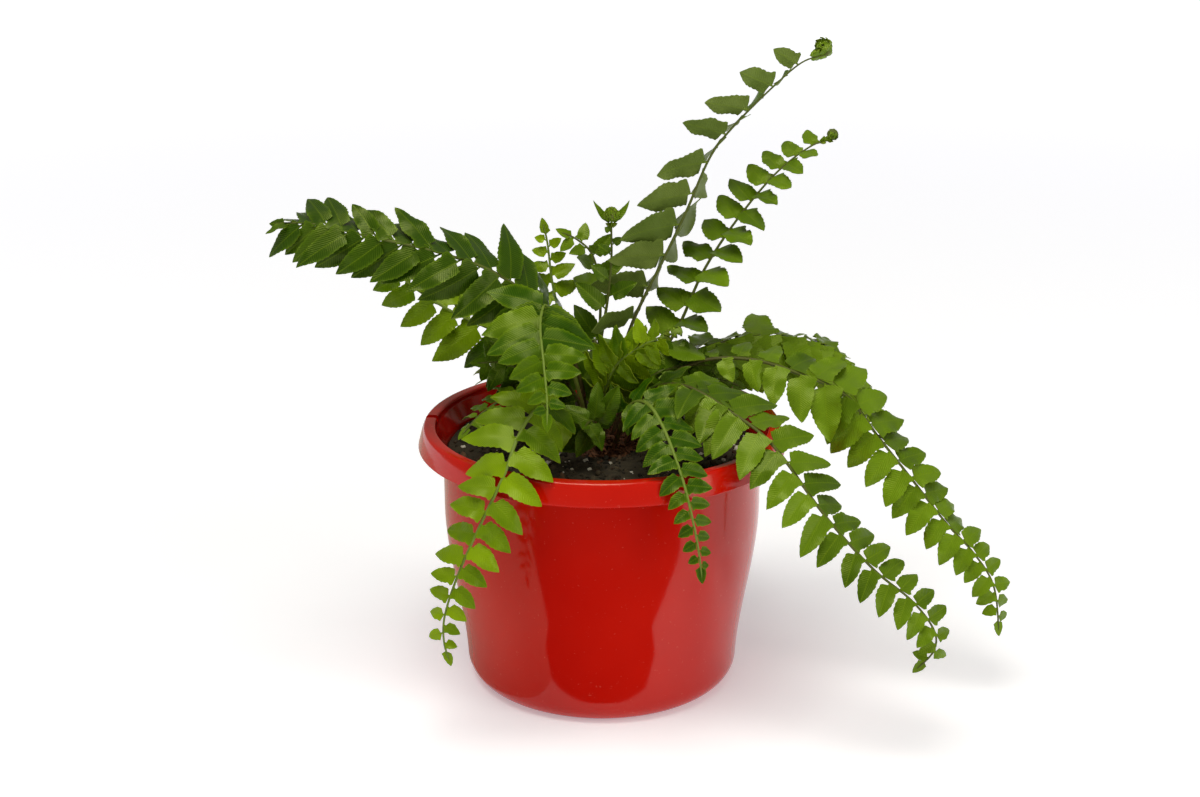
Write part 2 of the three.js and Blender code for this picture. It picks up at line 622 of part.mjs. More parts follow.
// Faces of a blade whose edges are lists of vertex numbers that start at its base
function bladeFaces(edges, mirrored) {
  const { lower, upper, lowerUnder, upperUnder, point, pointUnder } = edges;
  const faces = [];
  const last = lower.length - 1;
  for (let k = 0; k < last; k += 1) {
    const n = k + 1;
    faces.push([lower[k], upper[k], upper[n]], [lower[k], upper[n], lower[n]]);
    faces.push([lowerUnder[k], upperUnder[n], upperUnder[k]]);
    faces.push([lowerUnder[k], lowerUnder[n], upperUnder[n]]);
    faces.push([lower[k], lower[n], lowerUnder[n]], [lower[k], lowerUnder[n], lowerUnder[k]]);
    faces.push([upper[n], upper[k], upperUnder[k]], [upper[n], upperUnder[k], upperUnder[n]]);
  }
  faces.push([lower[last], upper[last], point], [lowerUnder[last], pointUnder, upperUnder[last]]);
  faces.push([lower[last], point, pointUnder], [lower[last], pointUnder, lowerUnder[last]]);
  faces.push([point, upper[last], upperUnder[last]], [point, upperUnder[last], pointUnder]);
  return mirrored ? faces.map(([a, b, c]) => [a, c, b]) : faces;
}

// The blade alone, from its neck to its point, as a closed solid with its bounds
function leafletBody(pose, grow) {
  const corners = leafletCorners(pose, grow);
  const vertices = [];
  const number = (list) => list.map((v) => vertices.push(v) - 1);
  const edges = {
    lower: number(corners.lower),
    upper: number(corners.upper),
    lowerUnder: number(corners.lowerUnder),
    upperUnder: number(corners.upperUnder),
    point: number([corners.point])[0],
    pointUnder: number([corners.pointUnder])[0],
  };
  const mirrored = pose.side > 0;
  const faces = bladeFaces(edges, mirrored);
  const back = [
    [edges.lower[0], edges.lowerUnder[0], edges.upperUnder[0]],
    [edges.lower[0], edges.upperUnder[0], edges.upper[0]],
  ];
  faces.push(...(mirrored ? back.map(([a, b, c]) => [a, c, b]) : back));
  return { solid: solidFrom(vertices, faces), box: new THREE.Box3().setFromPoints(vertices) };
}

// Frond solid

// Distances where one edge of the stalk has a corner, with the leaflets that stand between two of them
function edgeStops(frond, side, poses) {
  const stops = [];
  for (let distance = -FOOT_DEPTH; distance < frond.bare; distance += STALK_STEP) {
    stops.push({ distance });
  }
  for (const pose of poses.filter((p) => p.side === side)) {
    stops.push({ distance: pose.distance - LEAF_BASE, pose });
    stops.push({ distance: pose.distance + LEAF_BASE });
  }
  const { length } = frond.curve;
  if (frond.coil > 0) {
    const step = THREE.MathUtils.degToRad(COIL_STEP_DEG) * frond.coil;
    const end = length + coilLength(frond);
    for (let distance = length; distance < end; distance += step) stops.push({ distance });
  } else {
    for (const share of TIP_STOPS) stops.push({ distance: length - TIP_LEAF * (1 - share) });
  }
  stops.sort((a, b) => a.distance - b.distance);
  return fillLongGaps(stops);
}

// Adds corners so that no stretch of stalk is longer than one step
function fillLongGaps(stops) {
  const filled = [stops[0]];
  for (const stop of stops.slice(1)) {
    const previous = filled[filled.length - 1];
    const gap = stop.distance - previous.distance;
    if (gap < SHORTEST_STEP && !stop.pose && !previous.pose) continue;
    const parts = Math.ceil(gap / STALK_STEP);
    for (let k = 1; k < parts; k += 1) filled.push({ distance: previous.distance + (gap * k) / parts });
    filled.push(stop);
  }
  return filled;
}

function frondMesh(frond, poses) {
  const vertices = [];
  const faces = [];
  const number = (list) => list.map((v) => vertices.push(v) - 1);
  const edges = {};
  for (const side of [-1, 1]) {
    const stops = edgeStops(frond, side, poses);
    const over = [];
    const under = [];
    for (const { distance } of stops) {
      const { place, up, right } = frameAt(frond, distance);
      const [wide, thick] = stalkHalves(frond, distance);
      over.push(offset(place, right, side * wide, up, thick));
      under.push(offset(place, right, side * wide, up, -thick));
    }
    edges[side] = { stops, over: number(over), under: number(under) };
  }
  const [left, right] = [edges[-1], edges[1]];
  zipStrips(left, right, faces);
  for (const side of [-1, 1]) sideFaces(edges[side], side, faces, number);
  faces.push([left.over[0], left.under[0], right.under[0]]);
  faces.push([left.over[0], right.under[0], right.over[0]]);
  const [l, r] = [left.over.length - 1, right.over.length - 1];
  faces.push([left.over[l], right.over[r], right.under[r]]);
  faces.push([left.over[l], right.under[r], left.under[l]]);
  return { vertices, faces };
}

// Upper and lower faces of the stalk, between its two edges
function zipStrips(left, right, faces) {
  let i = 0;
  let j = 0;
  while (i < left.over.length - 1 || j < right.over.length - 1) {
    const nextLeft = i < left.over.length - 1 ? left.stops[i + 1].distance : Infinity;
    const nextRight = j < right.over.length - 1 ? right.stops[j + 1].distance : Infinity;
    if (nextLeft < nextRight) {
      faces.push([left.over[i], right.over[j], left.over[i + 1]]);
      faces.push([left.under[i], left.under[i + 1], right.under[j]]);
      i += 1;
    } else {
      faces.push([left.over[i], right.over[j], right.over[j + 1]]);
      faces.push([left.under[i], right.under[j + 1], right.under[j]]);
      j += 1;
    }
  }
}

// Side walls of the stalk, with a leaflet in place of the wall where one grows
function sideFaces(edge, side, faces, number) {
  const mirrored = side > 0;
  for (let i = 0; i < edge.stops.length - 1; i += 1) {
    const { pose } = edge.stops[i];
    if (pose) {
      const corners = leafletCorners(pose, 0);
      const blade = {
        lower: [edge.over[i], ...number(corners.lower)],
        upper: [edge.over[i + 1], ...number(corners.upper)],
        lowerUnder: [edge.under[i], ...number(corners.lowerUnder)],
        upperUnder: [edge.under[i + 1], ...number(corners.upperUnder)],
        point: number([corners.point])[0],
        pointUnder: number([corners.pointUnder])[0],
      };
      faces.push(...bladeFaces(blade, mirrored));
    } else {
      const wall = [
        [edge.over[i], edge.over[i + 1], edge.under[i + 1]],
        [edge.over[i], edge.under[i + 1], edge.under[i]],
      ];
      faces.push(...(mirrored ? wall.map(([a, b, c]) => [a, c, b]) : wall));
    }
  }
}

// The plain hole that a frond's foot stands in
function footHole(frond) {
  const vertices = [];
  for (const distance of [-FOOT_DEPTH - GAP, HOLE_ABOVE]) {
    const { place, along, up, right } = frameAt(frond, Math.min(distance, 0));
    const [wide, thick] = stalkHalves(frond, 0);
    const spot = place.clone().addScaledVector(along, Math.max(distance, 0));
    for (const [x, y] of [[-1, -1], [1, -1], [1, 1], [-1, 1]]) {
      vertices.push(offset(spot, right, x * (wide + GAP), up, y * (thick + GAP)));
    }
  }
  const faces = [[0, 1, 2], [0, 2, 3], [4, 6, 5], [4, 7, 6]];
  for (let k = 0; k < 4; k += 1) {
    const next = (k + 1) % 4;
    faces.push([k, k + 4, next + 4], [k, next + 4, next]);
  }
  return solidFrom(vertices, faces);
}

// Chooses how each leaflet stands so that it crosses nothing that stands already
function settledLeaflets(fronds, fixed) {
  const taken = [...fixed];
  const settled = new Map();
  for (const frond of fronds) {
    const poses = [];
    for (const side of [-1, 1]) {
      leafletDistances(frond, side).forEach((distance, index) => {
        const pose = firstClearPose(frond, side, index, distance, taken);
        if (!pose) return;
        poses.push(pose);
        taken.push(leafletBody(pose, 0));
      });
    }
    settled.set(frond, poses);
  }
  return settled;
}

function firstClearPose(frond, side, index, distance, taken) {
  for (let give = 0; give < GIVE_WAY.length; give += 1) {
    const pose = leafletPose(frond, side, index, distance, give);
    const body = leafletBody(pose, GAP);
    if (!taken.some((other) => crosses(body, other))) return pose;
  }
  return null;
}

function crosses(a, b) {
  if (!a.box.intersectsBox(b.box)) return false;
  const shared = a.solid.intersect(b.solid);
  const touching = !shared.isEmpty();
  shared.delete();
  return touching;
}

function bodyOfGeometry(geometry) {
  geometry.computeBoundingBox();
  return { solid: solidFromGeometry(geometry), box: geometry.boundingBox };
}

// Materials
const MATERIALS = {
  pot_plastic: { color: 0xc01c0c, roughness: 0.25, metalness: 0 },
  potting_mix: { color: 0x2a211b, roughness: 0.95, metalness: 0 },
  crown_scales: { color: 0x5a3320, roughness: 0.9, metalness: 0 },
  leaf_bright: { color: 0x7ba01c, roughness: 0.45, metalness: 0 },
  leaf_mid: { color: 0x54801c, roughness: 0.45, metalness: 0 },
  leaf_dark: { color: 0x315c16, roughness: 0.4, metalness: 0 },
};

function named(name, geometry, material) {
  const mesh = new THREE.Mesh(geometry, new THREE.MeshStandardMaterial(MATERIALS[material]));
  mesh.name = name;
  return mesh;
}

function pottedFern() {
  const group = new THREE.Group();
  const fronds = FRONDS.map((frond, index) => {
    return { ...USUAL, ...frond, index, curve: curveThrough(frond.path) };
  });
  const pot = potGeometry();
  const soil = soilGeometry();
  const crown = crownGeometry(fronds.map(footHole));
  group.add(named('pot', pot, 'pot_plastic'));
  group.add(named('potting_mix', soil, 'potting_mix'));
  group.add(named('crown', crown, 'crown_scales'));
  const stalks = fronds.map((frond) => bodyOfGeometry(geometryFrom(frondMesh(frond, []))));
  const leaflets = settledLeaflets(fronds, [...[pot, soil, crown].map(bodyOfGeometry), ...stalks]);
  for (const frond of fronds) {
    group.add(named(frond.name, geometryFrom(frondMesh(frond, leaflets.get(frond))), frond.colour));
  }
  return group;
}

export default pottedFern();
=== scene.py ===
# A potted sword fern, dressed over the frame's solids.
# Lengths are millimetres until a mesh is made. +Z is up and the photograph's side is -Y.
from math import ceil, cos, exp, floor, hypot, pi, radians, sin, sqrt, tan

import bmesh
import bpy
import numpy as np
from mathutils import Matrix, Vector, noise
from mathutils.kdtree import KDTree


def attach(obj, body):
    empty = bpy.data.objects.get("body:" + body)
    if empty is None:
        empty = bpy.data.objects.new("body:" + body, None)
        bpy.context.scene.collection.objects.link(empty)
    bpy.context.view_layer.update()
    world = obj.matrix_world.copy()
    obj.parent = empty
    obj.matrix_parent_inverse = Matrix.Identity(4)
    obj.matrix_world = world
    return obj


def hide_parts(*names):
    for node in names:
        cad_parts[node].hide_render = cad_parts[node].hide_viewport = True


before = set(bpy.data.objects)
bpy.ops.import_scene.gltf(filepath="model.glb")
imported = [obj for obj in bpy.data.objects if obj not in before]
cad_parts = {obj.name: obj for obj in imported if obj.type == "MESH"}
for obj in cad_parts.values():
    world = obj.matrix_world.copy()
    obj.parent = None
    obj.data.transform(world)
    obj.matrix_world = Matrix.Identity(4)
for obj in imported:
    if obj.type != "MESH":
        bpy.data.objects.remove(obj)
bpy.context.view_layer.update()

MM = 0.001

# Camera, fitted to the pot's rim and base
CAMERA_TARGET = (-1.1, 0.0, 158.1)
CAMERA_DISTANCE = 1000.0
CAMERA_ELEVATION = 18.4
CAMERA_LENS = 55.34

# Pot
POT_HEIGHT = 145.7
POT_SEGMENTS = 176
POT_WALL = 2.2
POT_FLOOR = 3.0
BASE_RADIUS = 75.3
BASE_ROUNDING = 11.0
BELLY_GROWTH = 11.2
BELLY_FROM = 5.0
BELLY_SPAN = 95.0
BODY_TOP = 132.0
BAND_BOTTOM = 133.8
BAND_RADIUS = 100.0
BAND_THICKNESS = 1.8
LIP_OUTER = 96.5
LIP_INNER = 90.5
LIP_ROUNDING = 1.6
EDGE_ROUNDING = 0.8
DRAIN_HOLES = 4
DRAIN_RADIUS = 5.0
DRAIN_CIRCLE = 46.0
HANGER_NOTCHES = 3
NOTCH_WIDTH = 4.5
NOTCH_DEPTH = 2.6
NOTCH_FIRST_DEG = 176

# Potting mix and crown
GAP = 0.3
SOIL_TOP = 132.5
SOIL_BUMP = 1.1
SOIL_WAVE = 7.0
SOIL_SEGMENTS = 160
CROWN_SEGMENTS = 72
CROWN_CENTRE = (1.0, 2.0)
CROWN_RADIUS = 25.0
CROWN_BOTTOM = 124.0
CROWN_TOP = 137.5

# Fronds
FOOT_DEPTH = 9.0
STALK_HALF_WIDTH = 1.15
STALK_HALF_WIDTH_END = 0.45
STALK_FLATNESS = 0.85
STALK_SIDES = 10
STALK_STEP = 2.5
SPLINE_SAMPLES = 30
LEAF_WIDTH_SHARE = 0.38
LEAF_WIDTH_LEAST = 1.8
LEAF_BASE = 1.2
LEAF_CLEARANCE = 1.0
NECK_LIMIT = 0.3
OPENING_SHARE = 0.25
BACK_SHARE = 0.4
OTHER_SIDE_SHIFT = 0.45
TIP_LEAF = 9.0
COIL_TURNS = 1.2
COIL_SHRINK = 0.72
COIL_ROOM = 6.0
COIL_HALF_WIDTHS = (1.6, 0.9)
COIL_HALF_THICKNESSES = (0.7, 0.45)
LENGTH_SPREAD = 0.08
SWEEP_SPREAD = 7.0
LIFT_SPREAD = 9.0
TWIST_SPREAD = 0.22
TWIST_LEAN = 0.12
DROOP_SPREAD = 0.5
FOUND_WITHIN = 0.0002

# How far a leaflet's neck corner stands out, in shares of its width, by the leaflet's length
NECK_CORNERS = ((17.0, 0.58), (8.0, 0.55), (0.0, 0.50))

# How a leaflet gives way to its neighbours: lift in degrees, then its share of full length
GIVE_WAY = (
    (0, 1), (-14, 1), (14, 1), (-28, 1), (26, 1), (0, 0.8), (-20, 0.8), (20, 0.8),
    (-42, 0.8), (40, 0.75), (0, 0.6), (-30, 0.6), (30, 0.6), (-60, 0.6), (60, 0.6),
)

# What a frond has unless it says otherwise
USUAL = dict(
    bare=45, step=13, leaf=30, sweep=74, back=0, lift=-8, sky=0.35, droop=0.16, hook=0.05,
    taper=0.6, start=0.7, coil=0, lean=0, broad=1, closing=0.4, light=(0, 0, 1),
    # Only here, not in the solids: the share of its length up to which it has twice the leaflets,
    # how much lighter it is (partly its own tone, partly painted shade on fronds deep in the plant
    # and painted light on outer ones), and whether it ends in a knob
    thicker=0, shade=0, knob=False,
)

# A frond's shade is partly its own tone, as for the dark left_long, and partly painted shade: fronds deep
# in the plant such as centre_front and front_right are made darker, and outer ones such as right_arch
# lighter
FRONDS = []


def spots_in(text):
    """Points or directions, their numbers parted by spaces and each from the next by a comma"""
    return np.array([spot.split() for spot in text.split(",")], float)


def grow(name, colour, path, faces, **values):
    """Lists a frond: its curve's points, where its upper side faces at its foot and tip, and its values"""
    values.update(name=name, colour="leaf_" + colour, path=spots_in(path), faces=spots_in(faces))
    FRONDS.append(values)


grow("left_long", "mid",
     "-8 -1 138, -12 -6 172, -26 -13 207, -53 -20 232, -83 -24 245, -119 -22 253, -150 -14 258, "
     "-174 -4 256",
     "0.3 -0.8 0.5, 0 -0.85 0.5", leaf=37, bare=50, sky=0.1, lift=-20, sweep=46, back=54, taper=0.18,
     droop=0.26, broad=0.84, lean=-16, shade=-1.05)
grow("left_low", "bright",
     "-13 7 138, -26 14 166, -48 22 184, -77 26 197, -97 26 209, -118 22 228",
     "0.3 -0.6 0.8, -0.2 -0.9 0.6", leaf=36, bare=50, step=17, lift=-20, sweep=64, taper=0.4, shade=-0.25)
grow("centre_front", "bright",
     "-6 -9 138, -14 -12 172, -23 -22 205, -29 -38 221, -31 -60 217, -29 -80 204, -27 -92 188, "
     "-27 -99 174",
     "0 -1 0.3, 0 -1 0.3", leaf=37, bare=94, step=12, taper=0.8, sweep=80, lift=-10, droop=0.1, sky=0.8,
     light=[0, -1, 0.3], start=0.75, thicker=0.6, shade=-0.75)
grow("front_left", "bright",
     "-11 -15 138, -20 -32 162, -33 -56 171, -42 -78 164, -49 -92 148, -60 -99 126, -71 -103 102, "
     "-79 -103 78, -80 -102 62, -77 -100 48",
     "0 -0.7 0.7, -0.3 -0.9 0.2", leaf=33, bare=34, step=16, sky=0.5, light=[0, -1, 0.5], shade=0.05)
grow("left_small", "mid",
     "-17 -8 138, -28 -11 157, -46 -16 165, -62 -27 160, -75 -42 150",
     "0 -0.3 1, -0.3 -0.4 0.9", leaf=18, bare=30, step=10)
grow("front_right", "bright",
     "7 -16 138, 14 -32 164, 23 -50 172, 31 -68 165, 39 -90 149, 44 -101 132, 48 -105 112, 50 -105 96",
     "0 -0.7 0.7, 0.2 -0.9 0.2", leaf=23, bare=26, step=12, sky=0.5, light=[0, -1, 0.5], shade=-0.95)
grow("right_front", "mid",
     "14 -10 138, 25 -20 168, 43 -36 177, 68 -56 168, 87 -71 156, 111 -90 127, 135 -100 102, 155 -104 86, "
     "167 -104 70, 168 -102 57, 159 -98 43",
     "0.2 -0.4 0.9, 0.3 -0.8 0.5", leaf=32, bare=28, step=16, taper=0.45, start=0.6, sky=0.4,
     light=[0, -1, 0.6], thicker=0.3)
grow("right_long", "mid",
     "18 -2 138, 30 0 164, 52 3 178, 80 1 180, 108 -5 173, 131 -10 163, 148 -16 142, 167 -22 119, "
     "185 -28 97, 201 -32 80, 212 -34 62, 217 -34 33",
     "0 -0.4 0.9, 0.3 -0.9 0.4", leaf=34, bare=62, step=15, sky=0.1, lift=-16, start=0.35, taper=0.5,
     broad=1.12, shade=0.3)
grow("right_arch", "mid",
     "18 8 138, 30 22 163, 52 39 173, 84 55 176, 114 67 171, 139 77 158, 158 85 136, 170 90 114",
     "0 -0.2 1, 0.5 -0.5 0.7", leaf=35, bare=56, sky=0, lift=-25, taper=0.4, broad=1.15, thicker=0.95,
     shade=0.4)
grow("tall", "dark",
     "5 11 138, 9 13 170, 17 17 197, 33 24 229, 45 28 254, 58 32 284, 71 34 301, 91 36 321, 106 36 334, "
     "118 36 338",
     "-0.6 0.75 0.1, -0.5 0.6 0.5", leaf=37, bare=54, step=19, coil=5.4, sweep=114, lift=46, sky=0.4,
     droop=0.26, taper=0.32, start=0.75, closing=0.1, broad=1.15, shade=0.3)
grow("second", "mid",
     "11 5 138, 24 14 164, 42 24 192, 55 29 221, 72 32 248, 93 34 274, 112 36 289, 124 36 293",
     "-0.6 -0.5 0.6, -0.5 -0.5 0.8", bare=46, step=16, coil=3.4, sweep=84, sky=0.75, taper=0.35, start=0.9,
     lift=12, droop=0.1, broad=1.15, shade=0.15)
grow("centre_young", "dark",
     "-3 4 138, -3 9 160, -1 13 184, 3 16 209, 5 16 231, 5 16 248, 5 16 256",
     "0 -1 0.2, 0 -1 0.2", leaf=28, bare=50, step=18, coil=3.4, sweep=52, lift=20, taper=1.0, start=1,
     sky=0.3, knob=True)
grow("curled_young", "mid",
     "-5 13 138, -2 22 178, -1 30 209, -5 34 229, -14 36 238, -25 36 243",
     "-0.8 -0.6 0.2, -0.3 -0.7 0.8", leaf=20, bare=78, step=12, taper=0.5, start=1, sky=0.3)
grow("left_young", "bright",
     "-8 19 138, -19 31 178, -27 39 210, -30 42 234, -33 42 248",
     "0 -1 0.3, 0 -1 0.5", leaf=18, bare=70, step=10, taper=0.8, start=1, sky=0.4)
grow("middle", "bright",
     "1 -6 138, 0 -10 158, 6 -18 180, 16 -24 192, 28 -28 200, 39 -30 204",
     "0 -1 0.5, 0 -1 0.5", leaf=27, bare=20, step=9.5, coil=3.4, taper=0.5, lift=-18, sky=0.1, sweep=86,
     start=0.95, thicker=0.8, shade=-0.1)
grow("left_inner", "dark",
     "-16 0 138, -27 -1 162, -40 -4 174, -54 -6 180, -70 -9 181",
     "0 -1 0.4, 0 -1 0.4", bare=26, sky=0.1, start=0.9, thicker=0.8)
grow("right_inner", "dark",
     "20 3 137, 34 9 157, 50 15 163, 66 20 162, 80 24 156",
     "0 -1 0.4, 0 -1 0.4", bare=24, sky=0.1, start=0.9, thicker=0.8)
grow("front_dark", "dark",
     "-2 -18 138, -3 -28 152, -6 -37 158, -10 -50 158",
     "0 -1 0.4, 0 -1 0.4", leaf=31, bare=10, step=11, lift=-4, sky=0.7, light=[0, -1, 0.4], start=0.9,
     thicker=0.8, shade=0.1)
grow("heart_right", "dark",
     "6 1 138, 13 5 156, 28 8 169, 44 8 174, 62 4 176",
     "0 -1 0.3, 0 -1 0.3", leaf=31, bare=18, step=12, lift=-4, sky=0.1, start=0.9, thicker=0.8, shade=0.15)
grow("heart_left", "dark",
     "-7 6 138, -15 9 158, -28 10 172, -44 8 180, -62 4 182",
     "0 -1 0.3, 0 -1 0.3", leaf=31, bare=18, step=12, lift=-4, sky=0.1, start=0.9, thicker=0.8, shade=0.1)
grow("back_left", "mid",
     "-16 16 138, -30 34 161, -42 58 168, -52 86 158, -62 110 134, -70 124 104, -74 128 74",
     "0 0.3 1, -0.3 0.9 0.2", bare=42, step=21)
grow("back", "mid",
     "0 21 138, -2 42 163, -4 70 170, -6 98 157, -9 120 130, -12 131 98, -14 134 64",
     "0 0.3 1, 0 1 0.2", leaf=31, bare=40, step=21)
grow("back_right", "bright",
     "13 16 138, 24 36 162, 36 60 169, 46 87 158, 57 109 133, 66 122 102, 74 126 72",
     "0 0.3 1, 0.3 0.9 0.2", bare=40, step=21)
grow("back_inner", "dark",
     "7 22 137, 11 36 156, 15 54 164, 19 74 160",
     "0 0.2 1, 0 0.5 0.9", leaf=26, bare=28, thicker=0.7)

# Cards just over the floor that only glossy surfaces reflect: their corners in metres and their grey.
# The flag makes the deep red panel on the pot's front, and the side card tones down the pot's left.
CARD_HEIGHT = 0.001
CARDS = {
    "flag": (0.01, [
        (-0.69, -0.60), (0.78, -0.51), (0.332, -0.246), (0.068, -0.122), (0.061, -0.103),
        (0.040, -0.093), (-0.048, -0.093), (-0.067, -0.103), (-0.075, -0.122),
    ]),
    "side_card": (0.66, [
        (-0.69, -0.60), (-0.075, -0.122), (-0.067, -0.103), (-0.048, -0.093), (-0.053, -0.062),
        (-0.079, -0.010), (-0.074, 0.030), (-0.050, 0.064), (0.0, 0.082), (-0.1, 0.6), (-0.8, 0.5),
    ]),
}

# The lights' tint, where they point in metres, and how bright the room is
LIGHT_COLOUR = (1.0, 0.96, 0.79)
LIT_SPOT = (0, 0, 0.15)
ROOM_LIGHT = 0.27

# The floor's half width in metres, its colours, and how much it glows near the pot and far from it
FLOOR_REACH = 30
FLOOR_COLOUR = (0.84, 0.87, 1.0, 1.0)
FLOOR_GLOW_COLOUR = (0.93, 0.93, 1.0, 1.0)
FLOOR_NEAR, FLOOR_FAR = 0.3, 3.0
FLOOR_GLOW_NEAR, FLOOR_GLOW_FAR = 0.31, 0.95

# How an added leaflet gives way, as an index of GIVE_WAY
EXTRA_GIVE = 1

# The first numbers of the leaflets that the solids do not have; a number seeds a leaflet's draws
EXTRA_NUMBER = 60
TIP_NUMBER = 90
HORN_NUMBER = 95
COIL_NUMBER = 100
WRAP_NUMBER = 200
KNOB_NUMBER = 300

# How light a leaflet is: 0.5 is its material's middle, to which a frond's shade is added; that shade is
# partly the frond's own tone, partly painted shade on inner fronds and painted light on outer ones
TONE_MIDDLE = 0.5
TONE_SPREAD = 0.36
# Painted shade and light along a frond: leaflets near the crown are darker and those towards the tip
# lighter, by this much from foot to tip
PAINTED_LIGHT_TOWARD_TIP = 0.5
COIL_TONE = 0.9
KNOB_TONE = 0.6
YOUNG_TONE_SPREAD = 0.3

# How far round a coiled tip its young leaflets lie, and how close
COIL_TILED = 0.72
COIL_TILE_STEP = 1.9

# The knob of folded leaflets
KNOB_LEAFLETS = 22
KNOB_RADIUS = 3.5
GOLDEN_ANGLE = pi * (3 - sqrt(5))

# The material slot of stalks, and the first one of young leaflets
STALK_SLOT = 2
YOUNG_SLOT = 3

# Blades: where a leaflet's rows and columns lie, and how much its face moves
COLUMNS = (-1.0, -0.62, -0.22, 0.0, 0.22, 0.62, 1.0)
SMALL_COLUMNS = (-1.0, -0.4, 0.0, 0.4, 1.0)
SMALL_BLADE = 12.0
BLADE_FULLNESS = 1.16
NECK_SHOWN = 0.4
TOOTH_PITCH = 3.0
TOOTH_DEPTH = 0.09
WAVES = 1.3
WAVES_SPREAD = 0.5
WAVE_HEIGHT = 0.095
TWIST_DEG = 12
CURL = 0.12
GROOVE_DEPTH = 0.3
BLADE_THICKNESS = 0.32
RIB_THICKNESS = 0.4
MARGIN_FROM = 0.62

# A dry scale's thickness, and how wide it is at shares of its length
SCALE_THICKNESS = 0.12
SCALE_FORM = ((0.0, 0.8), (0.4, 1.0), (0.75, 0.6), (1.0, 0.08))

# Dry scales on the crown, and round the foot of each stalk, and the seeds of their draws
CROWN_SCALES = 900
CROWN_SEED = 5
STALK_SCALES = 34
STALK_SEED = 8

# What lies on the mix: how many, least and greatest size, stretch, seed, look and roughness
LITTER = {
    "mix_crumbs": (1300, (0.6, 2.6), (1, 0.8, 0.7), 11, "potting_mix", 0.3),
    "mix_bark": (190, (0.9, 3.0), (1.7, 0.6, 0.3), 12, "bark", 0.2),
    "mix_perlite": (170, (0.5, 2.1), (1, 0.9, 0.8), 13, "perlite", 0.3),
}

# Screen colours from 0 to 255, dark then light. For leaflets, also the roughness and how much light
# comes through; for earth, also the roughness, the grain's scale and its depth in metres.
POT_DARK, POT_LIGHT = (177, 8, 0), (191, 16, 1)
DUST = (215, 110, 95)
PALE_RIB = (126, 152, 22)
LEAF_LOOKS = {
    "leaf_bright": ((34, 76, 1), (140, 172, 8), 0.3, 0.2),
    "leaf_mid": ((34, 66, 1), (109, 142, 20), 0.3, 0.16),
    "leaf_dark": ((30, 60, 1), (74, 108, 12), 0.28, 0.14),
    "leaf_bright_under": ((98, 122, 16), (142, 160, 42), 0.55, 0.22),
    "leaf_mid_under": ((76, 98, 18), (118, 136, 42), 0.55, 0.18),
    "leaf_dark_under": ((66, 94, 28), (114, 132, 62), 0.55, 0.16),
}
STALK_LOOKS = {
    "old_stalk": ((58, 36, 20), (80, 90, 30)),
    "young_stalk": ((78, 66, 28), (106, 128, 44)),
}
EARTH_LOOKS = {
    "potting_mix": ((21, 18, 13), (72, 62, 46), 0.95, 240, 0.0008),
    "bark": ((38, 26, 18), (98, 70, 48), 0.85, 300, 0.0004),
    "perlite": ((150, 145, 135), (225, 222, 214), 0.9, 300, 0.0003),
    "crown_scales": ((52, 26, 14), (128, 80, 48), 0.75, 300, 0.0003),
}

# A leaflet's markings: how far apart its veins are, and how much the markings change its colour
VEIN_PITCH = 1.25
VEIN_SHOWN = 0.12
MIDRIB_SHOWN = 0.3
MARGIN_SHOWN = 0.36

# The tint of the light that leaflets and the pot mirror
LEAF_SHEEN = (0.85, 1.0, 0.2, 1.0)
POT_SHEEN = (1.0, 0.95, 0.85, 1.0)


def unit(v):
    return v / np.linalg.norm(v)


def lerp(a, b, share):
    return a + (b - a) * share


# Frond layout, as the solids have it

def draw(frond_index, leaf_index, salt):
    """A repeatable draw from -1 to 1 for one leaflet of one frond"""
    wave = sin(frond_index * 12.9898 + leaf_index * 78.233 + salt * 37.719) * 43758.5453
    return 2 * (wave - floor(wave)) - 1


